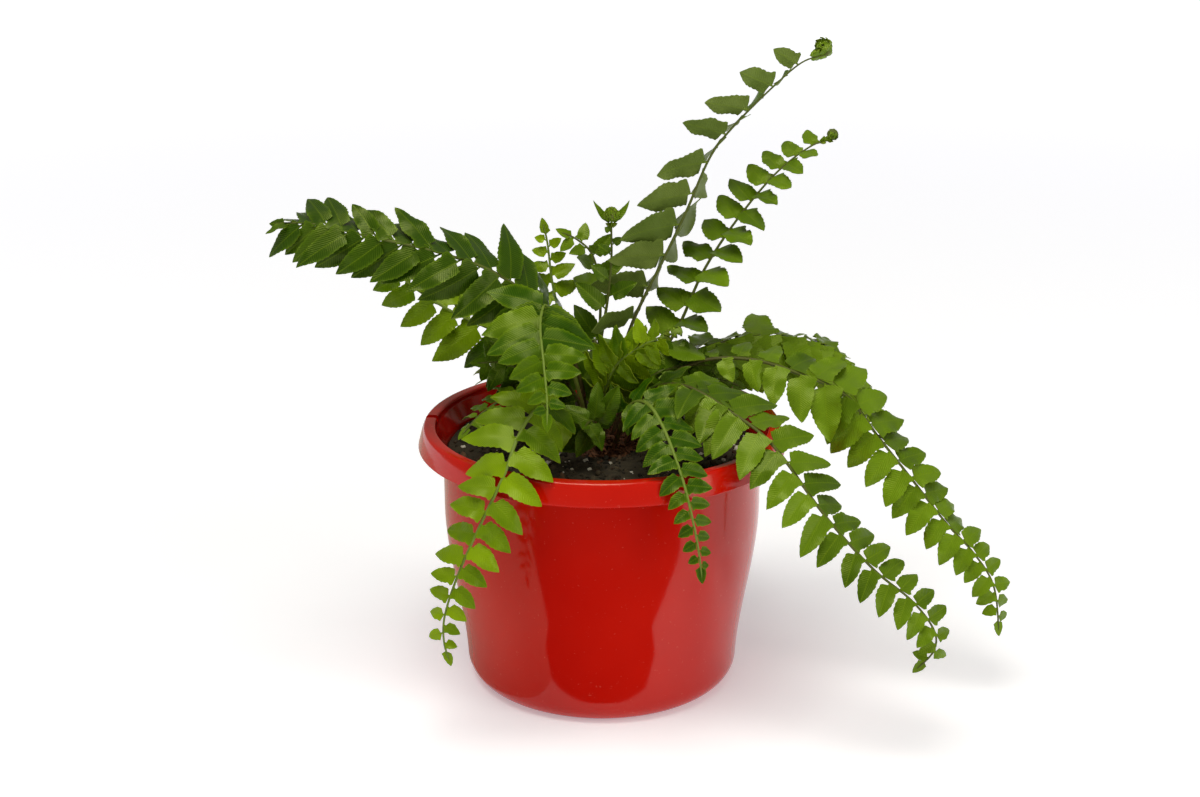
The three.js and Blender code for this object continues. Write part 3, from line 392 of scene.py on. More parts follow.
class Frond:
    """One frond's values, its smooth curve and the frames along its stalk"""

    def __init__(self, index, values):
        self.index = index
        for key, value in {**USUAL, **values}.items():
            setattr(self, key, value)
        path = self.path
        ends = np.vstack([2 * path[0] - path[1], path, 2 * path[-1] - path[-2]])
        spots = []
        for i in range(SPLINE_SAMPLES * (len(path) - 1) + 1):
            piece = min(i // SPLINE_SAMPLES, len(path) - 2)
            t = i / SPLINE_SAMPLES - piece
            before, start, end, after = ends[piece:piece + 4]
            leave = (end - before) / 2
            arrive = (after - start) / 2
            second = -3 * start + 3 * end - 2 * leave - arrive
            third = 2 * start - 2 * end + leave + arrive
            spots.append(start + leave * t + second * t ** 2 + third * t ** 3)
        self.spots = np.array(spots)
        steps = np.linalg.norm(np.diff(self.spots, axis=0), axis=1)
        self.reach = np.concatenate([[0.0], np.cumsum(steps)])
        self.length = self.reach[-1]
        self.coil_length = self.coil * 2 * pi * COIL_TURNS

    def at(self, distance):
        """The curve's point at a distance along it"""
        if distance <= 0:
            return self.spots[0] - distance * unit(self.spots[0] - self.spots[1])
        return np.array([np.interp(distance, self.reach, self.spots[:, k]) for k in range(3)])

    def frame_at(self, distance):
        """Place, direction, upper side and right-hand side at a distance from the crown"""
        if distance > self.length:
            return self.coil_frame(distance - self.length)
        place = self.at(distance)
        along = unit(self.at(min(distance + 1, self.length)) - self.at(distance - 1))
        share = min(max(distance / self.length, 0), 1)
        look = lerp(*self.faces, share)
        up = unit(look - look.dot(along) * along)
        return place, along, up, np.cross(along, up)

    def coil_frame(self, distance):
        place, along, up, right = self.frame_at(self.length)
        turn = distance / self.coil
        radius = self.coil * (1 - COIL_SHRINK * turn / (2 * pi * COIL_TURNS))
        centre = place + up * self.coil
        level, rise = cos(turn), sin(turn)
        spot = centre + along * radius * rise - up * radius * level
        return spot, along * level + up * rise, up * level - along * rise, right

    def stalk_halves(self, distance):
        """Half the stalk's width and half its thickness"""
        if distance > self.length:
            wound = (distance - self.length) / self.coil_length
            return lerp(*COIL_HALF_WIDTHS, wound), lerp(*COIL_HALF_THICKNESSES, wound)
        share = min(max(distance / self.length, 0), 1)
        wide = lerp(STALK_HALF_WIDTH, STALK_HALF_WIDTH_END, share)
        return wide, wide * STALK_FLATNESS

    def leaflet_distances(self, side):
        last = self.length - (COIL_ROOM if self.coil else TIP_LEAF)
        found = []
        distance = self.bare + (OTHER_SIDE_SHIFT * self.step if side > 0 else 0)
        while distance < last - LEAF_BASE:
            found.append(distance)
            share = (distance - self.bare) / (last - self.bare)
            distance += self.step * (1 - self.closing * share)
        return found

    def leaflet_length(self, distance):
        share = (distance - self.bare) / (self.length - self.bare)
        opening = self.start + (1 - self.start) * min(1, share / OPENING_SHARE)
        return self.leaf * opening * (1 - share) ** self.taper


class Leaflet:
    """One leaflet's own frame and size"""

    def __init__(self, frond, side, index, distance, give):
        place, along, up, right = frond.frame_at(distance)
        lift, shrink = GIVE_WAY[give]
        self.number = 2 * index + (1 if side > 0 else 0)
        self.frond_index = frond.index
        self.share = distance / frond.length
        self.side = side
        self.length = frond.leaflet_length(distance) * shrink * (1 + LENGTH_SPREAD * self.vary(1))
        self.width = frond.broad * (LEAF_WIDTH_SHARE * self.length + LEAF_WIDTH_LEAST)
        early = max(0, 1 - (distance - frond.bare) / (BACK_SHARE * frond.length))
        sweep = radians(frond.sweep + frond.back * early + SWEEP_SPREAD * self.vary(2))
        raised = radians(frond.lift + side * frond.lean + lift + LIFT_SPREAD * self.vary(3))
        outward = right * side * cos(raised) + up * sin(raised)
        self.axis = outward * sin(sweep) + along * cos(sweep)
        plane = up * cos(raised) - right * side * sin(raised)
        look = lerp(plane, frond.light, frond.sky)
        look = look + along * (TWIST_SPREAD * self.vary(4) - TWIST_LEAN)
        self.normal = unit(look - look.dot(self.axis) * self.axis)
        self.across = np.cross(self.normal, self.axis) * side
        wide, thick = frond.stalk_halves(distance)
        self.origin = place + right * side * wide + up * thick
        corner = next(share for least, share in NECK_CORNERS if self.length > least)
        near = corner * self.width * abs(cos(sweep)) + LEAF_CLEARANCE
        self.neck = min(near / sin(sweep), NECK_LIMIT * self.length)
        self.droop = frond.droop * (1 + DROOP_SPREAD * self.vary(5))
        self.hook = frond.hook

    def vary(self, salt):
        return draw(self.frond_index, self.number, salt)

    def set_out(self, origin, axis, look, length, width, neck, droop, hook=0.0):
        """Places a young leaflet that follows no row, its upper side towards look"""
        self.origin, self.axis = origin, axis
        self.normal = unit(look - look.dot(axis) * axis)
        self.across = np.cross(self.normal, axis) * self.side
        self.length, self.width, self.neck, self.droop, self.hook = length, width, neck, droop, hook

    def point(self, run, wide, high):
        """Points of the blade, run along its midrib, wide off it and high above it"""
        bend = run * run / self.length
        return (self.origin + np.multiply.outer(run, self.axis)
                + np.multiply.outer(wide + self.hook * bend, self.across)
                + np.multiply.outer(high - self.droop * bend, self.normal))


def leaflets_of(frond):
    """The frond's leaflets, each as it stands in the frond's solid"""
    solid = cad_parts["frond_" + frond.name].data
    tree = KDTree(len(solid.vertices))
    for i, vertex in enumerate(solid.vertices):
        tree.insert(vertex.co, i)
    tree.balance()
    found = []
    for side in (-1, 1):
        for index, distance in enumerate(frond.leaflet_distances(side)):
            for give in range(len(GIVE_WAY)):
                leaflet = Leaflet(frond, side, index, distance, give)
                tip = leaflet.point(leaflet.length, 0.0, 0.0) * MM
                if tree.find(Vector(tip))[2] < FOUND_WITHIN:
                    found.append(leaflet)
                    break
            if distance < frond.length * frond.thicker:
                between = distance + frond.step / 2
                found.append(Leaflet(frond, side, EXTRA_NUMBER + index, between, EXTRA_GIVE))
    return found


# Meshes

def smooth(mesh, sharp_from):
    """Shades a mesh smooth, but for edges sharper than an angle in degrees"""
    mesh.polygons.foreach_set("use_smooth", np.ones(len(mesh.polygons), bool))
    mesh.set_sharp_from_angle(angle=radians(sharp_from))


class Shape:
    """Gathers the vertices, faces and values of one mesh, in millimetres"""

    def __init__(self):
        self.places = []
        self.faces = []
        self.slots = []
        self.values = {"along": [], "across": [], "margin": [], "tone": []}
        self.count = 0

    def add(self, places, faces, slots, along=0.0, across=0.0, margin=0.0, tone=0.5):
        places = np.asarray(places, float).reshape(-1, 3)
        self.places.append(places)
        self.faces += [[v + self.count for v in face] for face in faces]
        self.slots += list(slots) if np.ndim(slots) else [slots] * len(faces)
        for key, value in (("along", along), ("across", across), ("margin", margin), ("tone", tone)):
            self.values[key].append(np.broadcast_to(np.ravel(value), len(places)))
        self.count += len(places)

    def mesh(self, name):
        mesh = bpy.data.meshes.new(name)
        mesh.from_pydata((np.vstack(self.places) * MM).tolist(), [], self.faces)
        mesh.polygons.foreach_set("material_index", np.array(self.slots, np.int32))
        for key, value in self.values.items():
            stored = mesh.attributes.new(key, "FLOAT", "POINT")
            stored.data.foreach_set("value", np.concatenate(value).astype(np.float32))
        smooth(mesh, 55)
        return mesh


def placed(name, data):
    """A new object in the scene"""
    made = bpy.data.objects.new(name, data)
    bpy.context.scene.collection.objects.link(made)
    return made


def piece(name, mesh, materials, slot, *nodes):
    """An object of the part that rides on its body and stands for the named solids"""
    made = placed(name, mesh)
    for material in materials:
        mesh.materials.append(material)
    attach(made, "root")
    if nodes:
        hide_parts(*nodes)
    return made


def grid_faces(rows, columns, closed=False):
    """Quads between rows of points, counterclockwise where row x column points outward"""
    faces = []
    for r in range(rows - 1):
        for c in range(columns if closed else columns - 1):
            d = (c + 1) % columns
            faces.append([r * columns + c, (r + 1) * columns + c, (r + 1) * columns + d, r * columns + d])
    return faces


def rim_loop(rows, columns):
    """Vertex numbers round a grid's edge"""
    loop = [r * columns for r in range(rows)]
    loop += [(rows - 1) * columns + c for c in range(1, columns)]
    loop += [r * columns + columns - 1 for r in range(rows - 2, -1, -1)]
    loop += [c for c in range(columns - 2, 0, -1)]
    return loop


BLADE_FACES = {}


def blade_faces(rows, columns, mirrored):
    """Faces and slots of a thin closed blade: upper grid, lower grid and rim"""
    key = (rows, columns, mirrored)
    if key not in BLADE_FACES:
        upper = grid_faces(rows, columns)
        under = rows * columns
        lower = [[v + under for v in reversed(face)] for face in upper]
        loop = rim_loop(rows, columns)
        rim = [[a + under, b + under, b, a] for a, b in zip(loop, loop[1:] + loop[:1])]
        faces = upper + lower + rim
        if mirrored:
            faces = [face[::-1] for face in faces]
        slots = [0] * len(upper) + [1] * (len(lower) + len(rim))
        BLADE_FACES[key] = (faces, slots)
    return BLADE_FACES[key]


def blade_halves(share, width):
    """Half widths of a leaflet on its upper and lower side, by its share of the blade's length"""
    widest = 0.36
    past = np.clip((share - widest) / (1 - widest), 0, 1)
    before = np.clip((widest - share) / widest, 0, 1)
    body = np.where(share > widest, (1 - past ** 1.75) ** 0.86, 1 - 0.2 * before ** 2)
    rounded = np.sqrt(np.clip(share / 0.045, 0.02, 1))
    ear = 0.17 * np.exp(-((share - 0.08) / 0.07) ** 2)
    return width * (0.5 * body + ear) * rounded, width * 0.5 * body * rounded


def add_blade(shape, leaf, tone, flat=False, slot=0):
    """A leaflet: a thin wavy blade with scalloped edges, a grooved midrib and an ear at its base"""
    small = leaf.length < SMALL_BLADE
    columns = np.array(SMALL_COLUMNS if small else COLUMNS)
    teeth = max(3, round(leaf.length / TOOTH_PITCH))
    rows = (2 if small else 3) * teeth
    share = np.concatenate([[-0.5, -0.2], np.linspace(0, 1, rows + 1) ** 1.15])
    stalklet = share < 0
    blade_share = np.clip(share, 0, 1)
    neck = NECK_SHOWN * leaf.neck
    run = np.where(stalklet, neck * (1 + 2 * share) - 0.4, neck + (leaf.length - neck) * share)
    upper, lower = blade_halves(blade_share, BLADE_FULLNESS * leaf.width)
    scallop = 1 - TOOTH_DEPTH * np.cos(pi * teeth * blade_share) ** 2
    upper = np.where(stalklet, 0.45, np.maximum(upper * scallop, 0.12))
    lower = np.where(stalklet, 0.45, np.maximum(lower * scallop, 0.12))
    s, v = np.meshgrid(blade_share, columns, indexing="ij")
    runs = np.repeat(run[:, None], len(columns), axis=1)
    wide = np.where(v > 0, v * upper[:, None], v * lower[:, None])
    shoulder = np.clip(v, 0, 1) ** 1.5 * np.exp(-(s / 0.09) ** 2)
    runs = runs - 0.1 * leaf.width * shoulder * (~stalklet[:, None])
    fade = np.sin(pi * s) ** 0.6
    cup = (0.02 + 0.1 * leaf.vary(11)) * leaf.width * np.abs(v) ** 1.5
    phase = pi * (leaf.vary(12) + (v > 0) * (0.5 + leaf.vary(13)))
    waves = WAVES + WAVES_SPREAD * leaf.vary(14)
    swing = np.sin(2 * pi * waves * s + phase)
    wave = WAVE_HEIGHT * leaf.width * np.abs(v) ** 1.5 * swing
    groove = -GROOVE_DEPTH * np.exp(-(v / 0.14) ** 2)
    twist = wide * tan(radians(TWIST_DEG * leaf.vary(15))) * s
    curl = -CURL * leaf.length * leaf.vary(16) * np.clip(s - 0.55, 0, 1) ** 2
    high = (cup + wave) * fade + groove * (1 - s) + twist + curl - 0.1
    if flat:
        high = groove * (1 - s)
    thick = BLADE_THICKNESS + RIB_THICKNESS * np.exp(-(v / 0.16) ** 2) * (1 - s)
    top = leaf.point(runs.ravel(), wide.ravel(), high.ravel())
    low = leaf.point(runs.ravel(), wide.ravel(), (high - thick).ravel())
    faces, slots = blade_faces(len(share), len(columns), leaf.side < 0)
    margin = np.clip((np.abs(v) - MARGIN_FROM) / (1 - MARGIN_FROM), 0, 1)
    values = [np.tile(each.ravel(), 2) for each in (runs, wide, margin)]
    slots = [value + slot for value in slots]
    shape.add(np.vstack([top, low]), faces, slots, *values, tone=tone)


def add_stalk(shape, frond):
    """The stalk: a slightly grooved tube from its foot in the crown to its tip or round its coil"""
    end = frond.length + frond.coil_length if frond.coil else frond.length - 0.35 * TIP_LEAF
    count = ceil((end + FOOT_DEPTH) / STALK_STEP)
    distances = list(np.linspace(-FOOT_DEPTH, min(end, frond.length), count))
    if frond.coil:
        distances += list(np.arange(frond.length + 1.1, end, 1.1))
    angles = 2 * pi * np.arange(STALK_SIDES) / STALK_SIDES
    grooves = 0.2 * np.exp(-((angles - pi / 2) / 0.35) ** 2)
    places = []
    for distance in distances:
        place, _, up, right = frond.frame_at(distance)
        wide, thick = frond.stalk_halves(distance)
        swollen = 1.05 + 0.3 * exp(-max(distance, 0) / 14)
        size = swollen * min(1.0, (end - distance) / 6 + 0.3)
        across = np.outer(np.cos(angles) * wide * size, right)
        above = np.outer((np.sin(angles) - grooves) * thick * size, up)
        places.append(place + across + above)
    rows = len(distances)
    faces = [face[::-1] for face in grid_faces(rows, STALK_SIDES, closed=True)]
    start = list(range(STALK_SIDES))
    finish = [(rows - 1) * STALK_SIDES + k for k in range(STALK_SIDES)]
    faces += [start, finish[::-1]]
    along = np.repeat(distances, STALK_SIDES)
    shape.add(places, faces, STALK_SLOT, along=along, tone=np.clip(along / frond.length, 0, 1))


def add_young(shape, leaf, tone):
    add_blade(shape, leaf, tone + YOUNG_TONE_SPREAD * leaf.vary(7), slot=YOUNG_SLOT)


def add_tip_leaflet(shape, frond):
    """The small leaflet that a frond without a coil ends in"""
    place, along, up, _ = frond.frame_at(frond.length - TIP_LEAF)
    leaf = Leaflet(frond, -1, TIP_NUMBER, frond.bare, 0)
    leaf.set_out(place, along, up, TIP_LEAF + 0.5, 4.6, 1.0, 0.02)
    # The tip leaflet is made lighter as painted light on the frond's outer end, plus the frond's shade
    tone = TONE_MIDDLE + PAINTED_LIGHT_TOWARD_TIP / 2 + frond.shade
    add_blade(shape, leaf, tone, flat=True)


def add_coil_leaflets(shape, frond):
    """Young leaflets that lie like tiles on both faces of a coiled tip and wrap its outside"""
    start = frond.length - COIL_ROOM
    end = frond.length + COIL_TILED * frond.coil_length
    for side in (-1, 1):
        for number, distance in enumerate(np.arange(start, end, COIL_TILE_STEP)):
            place, along, up, right = frond.frame_at(distance)
            outward = right * side
            left = (end - distance) / (end - start)
            leaf = Leaflet(frond, side, COIL_NUMBER + number, frond.bare, 0)
            axis = unit(up * (0.9 + 0.2 * leaf.vary(6)) + along * 0.5 + outward * 0.12)
            origin = place + outward * frond.stalk_halves(distance)[0] * 0.9
            length = frond.coil * (0.75 + 0.35 * left)
            leaf.set_out(origin, axis, outward, length, 0.62 * length, 0.2, 0.18)
            add_young(shape, leaf, COIL_TONE)
            if number % 2:
                continue
            wrap = Leaflet(frond, side, WRAP_NUMBER + number, frond.bare, 0)
            axis = unit(outward * (0.8 + 0.2 * wrap.vary(6)) + along * 0.5 - up * 0.25)
            length = frond.coil * (0.55 + 0.4 * left)
            wrap.set_out(place, axis, -up, length, 0.7 * length, 0.2, 0.5)
            add_young(shape, wrap, COIL_TONE)


def add_knob(shape, frond):
    """Young leaflets folded over each other into a round knob about a small coil"""
    place, along, up, right = frond.frame_at(frond.length)
    centre = place + up * frond.coil * 0.7 + along * 0.5
    for number in range(KNOB_LEAFLETS):
        height = 0.75 - 1.5 * (number + 0.5) / KNOB_LEAFLETS
        turn = GOLDEN_ANGLE * number
        ring = right * cos(turn) + up * sin(turn)
        out = ring * sqrt(1 - height * height) + along * height
        axis = unit(along - along.dot(out) * out)
        leaf = Leaflet(frond, -1, KNOB_NUMBER + number, frond.bare, 0)
        leaf.set_out(centre + out * KNOB_RADIUS - axis * 1.5, axis, out, 6.0, 4.6, 0.2, 0.42)
        add_young(shape, leaf, KNOB_TONE)


def add_horns(shape, frond):
    """The pair of narrow young leaflets that curve up beside a coiled tip"""
    for side in (-1, 1):
        place, along, up, right = frond.frame_at(frond.length - 3)
        leaf = Leaflet(frond, side, HORN_NUMBER, frond.bare, 0)
        axis = unit(right * side * 0.9 + along * 0.4)
        leaf.set_out(place, axis, up * 0.8 + along * 0.6, 13.0, 4.0, 0.5, -0.1, 0.45)
        add_blade(shape, leaf, KNOB_TONE, slot=YOUNG_SLOT)


def frond_piece(frond, materials):
    shape = Shape()
    for leaf in leaflets_of(frond):
        # Darker near the crown and lighter towards the tip: painted shade deep in the plant and painted
        # light on its outer parts
        tone = TONE_MIDDLE + TONE_SPREAD * leaf.vary(17) + PAINTED_LIGHT_TOWARD_TIP * (leaf.share - 0.5)
        # The frond's shade: partly its own tone, partly painted shade on inner fronds and painted light on
        # outer ones
        add_blade(shape, leaf, tone + frond.shade)
    add_stalk(shape, frond)
    if frond.coil:
        add_coil_leaflets(shape, frond)
    else:
        add_tip_leaflet(shape, frond)
    if frond.knob:
        add_knob(shape, frond)
        add_horns(shape, frond)
    stalk = "young_stalk" if frond.colour == "leaf_bright" else "old_stalk"
    names = [frond.colour, frond.colour + "_under", stalk, "leaf_mid", "leaf_mid_under"]
    looks = [materials[name] for name in names]
    node_name = "frond_" + frond.name
    return piece("grown_" + node_name, shape.mesh(node_name), looks, frond.colour, node_name)


# Pot

def pot_radius(z):
    share = min(max((z - BELLY_FROM) / BELLY_SPAN, 0), 1)
    return BASE_RADIUS + BELLY_GROWTH * share * share * (3 - 2 * share)


def rounded(corners):
    """Points of a line through [radius, height, rounding] corners, with an arc at each corner"""
    points = []
    for i, (r, z, radius) in enumerate(corners):
        spot = np.array([r, z])
        if radius == 0 or i in (0, len(corners) - 1):
            points.append(spot)
            continue
        back = np.array(corners[i - 1][:2]) - spot
        ahead = np.array(corners[i + 1][:2]) - spot
        reach = min(radius, 0.45 * np.linalg.norm(back), 0.45 * np.linalg.norm(ahead))
        start, end = spot + unit(back) * reach, spot + unit(ahead) * reach
        for t in np.linspace(0, 1, 6):
            points.append(start * (1 - t) ** 2 + 2 * spot * t * (1 - t) + end * t * t)
    return points


def pot_profile():
    """The pot's half section, from the centre of its base, out, up over the lip and down inside"""
    corners = [(0, 0, 0), (BASE_RADIUS - BASE_ROUNDING, 0, 0)]
    for angle in np.linspace(0, pi / 2, 12)[1:-1]:
        radius = BASE_RADIUS - BASE_ROUNDING * (1 - sin(angle))
        corners.append((radius, BASE_ROUNDING * (1 - cos(angle)), 0))
    corners += [(pot_radius(z), z, 0) for z in np.linspace(BASE_ROUNDING, BODY_TOP, 40)]
    corners += [
        (LIP_INNER + POT_WALL / 2, POT_HEIGHT - 2 * POT_WALL, 1.0),
        (LIP_OUTER - POT_WALL, POT_HEIGHT - 1.5 * POT_WALL, 1.0),
        (BAND_RADIUS - BAND_THICKNESS, BAND_BOTTOM, 0.3),
        (BAND_RADIUS, BAND_BOTTOM, EDGE_ROUNDING),
        (LIP_OUTER + 1.2, POT_HEIGHT - 2 * LIP_ROUNDING, 2.0),
        (LIP_OUTER, POT_HEIGHT, LIP_ROUNDING),
        (LIP_INNER, POT_HEIGHT, LIP_ROUNDING),
        (LIP_INNER - 0.5, POT_HEIGHT - 2 * LIP_ROUNDING, 1.0),
        (pot_radius(BODY_TOP) - POT_WALL, BODY_TOP, 3.0),
    ]
    corners += [(pot_radius(z) - POT_WALL, z, 0) for z in np.linspace(BODY_TOP - 4, BASE_ROUNDING, 24)]
    corners += [(BASE_RADIUS - BASE_ROUNDING, POT_FLOOR, 0), (0, POT_FLOOR, 0)]
    return rounded(corners)


def turned(profile, segments):
    """Vertices and faces of a profile turned about Z, with single points on the axis at its ends"""
    angles = np.linspace(0, 2 * pi, segments, endpoint=False)
    places = [(r * cos(angle), r * sin(angle), z) for r, z in profile[1:-1] for angle in angles]
    bottom, top = len(places), len(places) + 1
    places += [(0, 0, profile[0][1]), (0, 0, profile[-1][1])]
    rows = len(profile) - 2
    faces = [face[::-1] for face in grid_faces(rows, segments, closed=True)]
    last = (rows - 1) * segments
    for k in range(segments):
        n = (k + 1) % segments
        faces.append([bottom, n, k])
        faces.append([top, last + k, last + n])
    return np.array(places, float), faces


def cut(target, make, place, **form):
    """Cuts a form, made in millimetres at its place, out of the target"""
    mesh = bpy.data.meshes.new("cutter")
    work = bmesh.new()
    make(work, **form)
    bmesh.ops.transform(work, matrix=Matrix.Scale(MM, 4) @ place, verts=work.verts)
    work.to_mesh(mesh)
    work.free()
    tool = placed("cutter", mesh)
    change = target.modifiers.new("cut", "BOOLEAN")
    change.operation = "DIFFERENCE"
    change.solver = "EXACT"
    change.object = tool
    graph = bpy.context.evaluated_depsgraph_get()
    result = bpy.data.meshes.new_from_object(target.evaluated_get(graph))
    target.modifiers.clear()
    target.data = result
    bpy.data.objects.remove(tool)


def pot_piece(plastic):
    """The turned pot with its drain holes and hanger notches"""
    shape = Shape()
    places, faces = turned(pot_profile(), POT_SEGMENTS)
    shape.add(places, faces, 0)
    made = piece("moulded_pot", shape.mesh("pot"), [plastic], "pot_plastic", "pot")
    for i in range(DRAIN_HOLES):
        angle = 2 * pi * (i + 0.5) / DRAIN_HOLES
        place = Matrix.Translation(
            (DRAIN_CIRCLE * cos(angle), DRAIN_CIRCLE * sin(angle), POT_FLOOR / 2))
        cut(made, bmesh.ops.create_cone, place, cap_ends=True, segments=32, radius1=DRAIN_RADIUS,
            radius2=DRAIN_RADIUS, depth=3 * POT_FLOOR)
    for i in range(HANGER_NOTCHES):
        angle = radians(NOTCH_FIRST_DEG) + 2 * pi * i / HANGER_NOTCHES
        place = Matrix.Rotation(angle, 4, "Z") @ Matrix.Translation(
            ((LIP_OUTER + LIP_INNER) / 2, 0, POT_HEIGHT))
        size = Matrix.Diagonal((3 * (LIP_OUTER - LIP_INNER), NOTCH_WIDTH, 2 * NOTCH_DEPTH, 1))
        cut(made, bmesh.ops.create_cube, place, size=1, matrix=size)
    smooth(made.data, 35)
    return made


# Potting mix

def soil_height(x, y):
    mounds = sin(x / SOIL_WAVE + 1) * cos(y / SOIL_WAVE)
    crumbs = sin(2 * (x + y) / SOIL_WAVE) / 2
    lumps = noise.fractal(Vector((x, y, 0)) / 5, 1.0, 2.0, 4)
    return SOIL_TOP - 0.4 + 0.7 * SOIL_BUMP * (mounds + crumbs) + 1.1 * lumps


def soil_piece(mix):
    """The mix as one closed body with a rough top"""
    wall = [(0, POT_FLOOR + GAP), (BASE_RADIUS - BASE_ROUNDING - GAP, POT_FLOOR + GAP)]
    wall += [(pot_radius(z) - POT_WALL - GAP, z) for z in np.linspace(BASE_ROUNDING, SOIL_TOP - 1.5, 16)]
    top = pot_radius(SOIL_TOP) - POT_WALL - GAP
    profile = wall + [(r, SOIL_TOP) for r in np.linspace(top - 0.6, 2, 62)] + [(0, SOIL_TOP)]
    places, faces = turned(profile, SOIL_SEGMENTS)
    for place in places:
        if place[2] == SOIL_TOP:
            place[2] = soil_height(place[0], place[1])
    shape = Shape()
    shape.add(places, faces, 0)
    return piece("filled_mix", shape.mesh("mix"), [mix], "potting_mix", "potting_mix")


def crumb(subdivisions):
    """Vertices and faces of a small ball"""
    work = bmesh.new()
    bmesh.ops.create_icosphere(work, subdivisions=subdivisions, radius=1)
    places = np.array([v.co[:] for v in work.verts])
    faces = [[v.index for v in f.verts] for f in work.faces]
    work.free()
    return places, faces


def random_turn(rng):
    """A random rotation as a 3 by 3 array"""
    matrix, _ = np.linalg.qr(rng.normal(size=(3, 3)))
    return matrix * np.sign(np.linalg.det(matrix))


def scatter_spot(rng, outer):
    """A spot on the potting mix, clear of the crown"""
    while True:
        radius = outer * sqrt(rng.random())
        angle = 2 * pi * rng.random()
        x, y = radius * cos(angle), radius * sin(angle)
        if hypot(x - CROWN_CENTRE[0], y - CROWN_CENTRE[1]) > CROWN_RADIUS - 1:
            return x, y


def scattered(name, materials, count, sizes, stretch, seed, look, roughness):
    """Crumbs, chips or grains lying on the mix, as one mesh"""
    rng = np.random.default_rng(seed)
    shape = Shape()
    balls = {1: crumb(1), 2: crumb(2)}
    for _ in range(count):
        x, y = scatter_spot(rng, pot_radius(SOIL_TOP) - POT_WALL - 4)
        size = sizes[0] + (sizes[1] - sizes[0]) * rng.random() ** 2
        places, faces = balls[2 if size > 1.0 else 1]
        lumps = 1 + roughness * rng.normal(size=(len(places), 1)).clip(-1.5, 1.5) * 0.5
        form = places * lumps * np.array(stretch) * size
        form = form @ random_turn(rng).T
        low = form[:, 2].min()
        centre = np.array([x, y, soil_height(x, y) - 0.45 * abs(low) + 0.3 * size])
        shape.add(form + centre, faces, 0, tone=rng.random())
    return piece(name, shape.mesh(name), [materials[look]], "potting_mix")


# Crown

def add_scale(shape, root, along, out, length, width, tone):
    """One narrow dry scale that stands out from its root and curves along"""
    side = unit(np.cross(along, out))
    top = []
    for share, wide in SCALE_FORM:
        centre = root + along * length * share + out * length * (0.28 * share - 0.1 * share ** 2)
        half = side * wide * width / 2
        top += [centre - half, centre + half]
    faces, _ = blade_faces(len(SCALE_FORM), 2, False)
    shape.add(np.vstack([top, top - SCALE_THICKNESS * out]), faces, 0, tone=tone)


def crown_rise(radius):
    return (CROWN_TOP - SOIL_TOP + 2) * (1 - (radius / CROWN_RADIUS) ** 3)


def crown_piece(scales):
    """The crown: a rough mound of old stalk bases under dry scales"""
    cx, cy = CROWN_CENTRE
    profile = [(0, CROWN_BOTTOM), (CROWN_RADIUS - 0.5, CROWN_BOTTOM), (CROWN_RADIUS, SOIL_TOP - 3)]
    profile += [(r, SOIL_TOP - 2 + crown_rise(r)) for r in np.linspace(CROWN_RADIUS - 0.4, 1, 26)]
    profile.append((0, CROWN_TOP))
    places, faces = turned(profile, CROWN_SEGMENTS)
    for place in places:
        if place[2] > SOIL_TOP - 2:
            place[2] += 1.1 * noise.fractal(Vector(place) / 4, 1.0, 2.0, 4) - 0.8
    shape = Shape()
    shape.add(places + [cx, cy, 0], faces, 0)
    rng = np.random.default_rng(CROWN_SEED)
    for _ in range(CROWN_SCALES):
        radius = (CROWN_RADIUS - 1) * sqrt(rng.random())
        angle = 2 * pi * rng.random()
        height = SOIL_TOP - 2.6 + crown_rise(radius)
        root = np.array([cx + radius * cos(angle), cy + radius * sin(angle), height])
        lean = angle + rng.normal() * 0.7
        out = unit(np.array([rng.normal() * 0.3, rng.normal() * 0.3, 1.0]))
        along = unit(np.array([cos(lean), sin(lean), 0.3 * rng.normal()]))
        add_scale(shape, root, along, out, 3 + 4 * rng.random(), 0.9 + 0.6 * rng.random(), rng.random())
    return piece("scaly_crown", shape.mesh("crown"), [scales], "crown_scales", "crown")


def stalk_scales_piece(fronds, scales):
    """Dry scales round the foot of each stalk, thinning out upwards"""
    rng = np.random.default_rng(STALK_SEED)
    shape = Shape()
    for frond in fronds:
        for _ in range(STALK_SCALES):
            distance = -1 + 30 * rng.random() ** 1.8
            place, along, up, right = frond.frame_at(distance)
            angle = 2 * pi * rng.random()
            out = up * sin(angle) + right * cos(angle)
            wide, _ = frond.stalk_halves(distance)
            lean = unit(along + 0.25 * rng.normal() * np.cross(out, along))
            length = (2.2 + 3 * rng.random()) * (1 - distance / 60)
            add_scale(shape, place + out * wide, lean, out, length, 0.7, rng.random())
    return piece("stalk_scales", shape.mesh("stalk_scales"), [scales], "crown_scales")


# Materials

def node(tree, kind, sockets=None, **settings):
    """A shader node with its settings, and its inputs set or linked"""
    made = tree.nodes.new("ShaderNode" + kind)
    for key, value in settings.items():
        setattr(made, key, value)
    for key, value in (sockets or {}).items():
        value = getattr(value, "socket", value)
        if isinstance(value, bpy.types.NodeSocket):
            tree.links.new(value, made.inputs[key])
        else:
            made.inputs[key].default_value = value
    return made


def linear(red, green, blue):
    """A screen colour, 0 to 255, as linear light"""
    return tuple(
        c / 12.92 if c <= 0.04045 else ((c + 0.055) / 1.055) ** 2.4
        for c in (red / 255, green / 255, blue / 255)
    ) + (1.0,)


def new_material(name):
    made = bpy.data.materials.new(name)
    made.use_nodes = True
    made.node_tree.nodes.clear()
    return made, made.node_tree


def principled(tree, colour, rough, normal=None, **more):
    """A surface shader; an input's spaces are underscores in more"""
    sockets = {"Base Color": colour, "Roughness": rough}
    if normal is not None:
        sockets["Normal"] = normal
    sockets.update((key.replace("_", " "), value) for key, value in more.items())
    return node(tree, "BsdfPrincipled", sockets).outputs[0]


def bumps(tree, strength, distance, height):
    sockets = {"Strength": strength, "Distance": distance, "Height": height}
    return node(tree, "Bump", sockets).outputs["Normal"]


def output(tree, shader):
    node(tree, "OutputMaterial", {"Surface": shader})


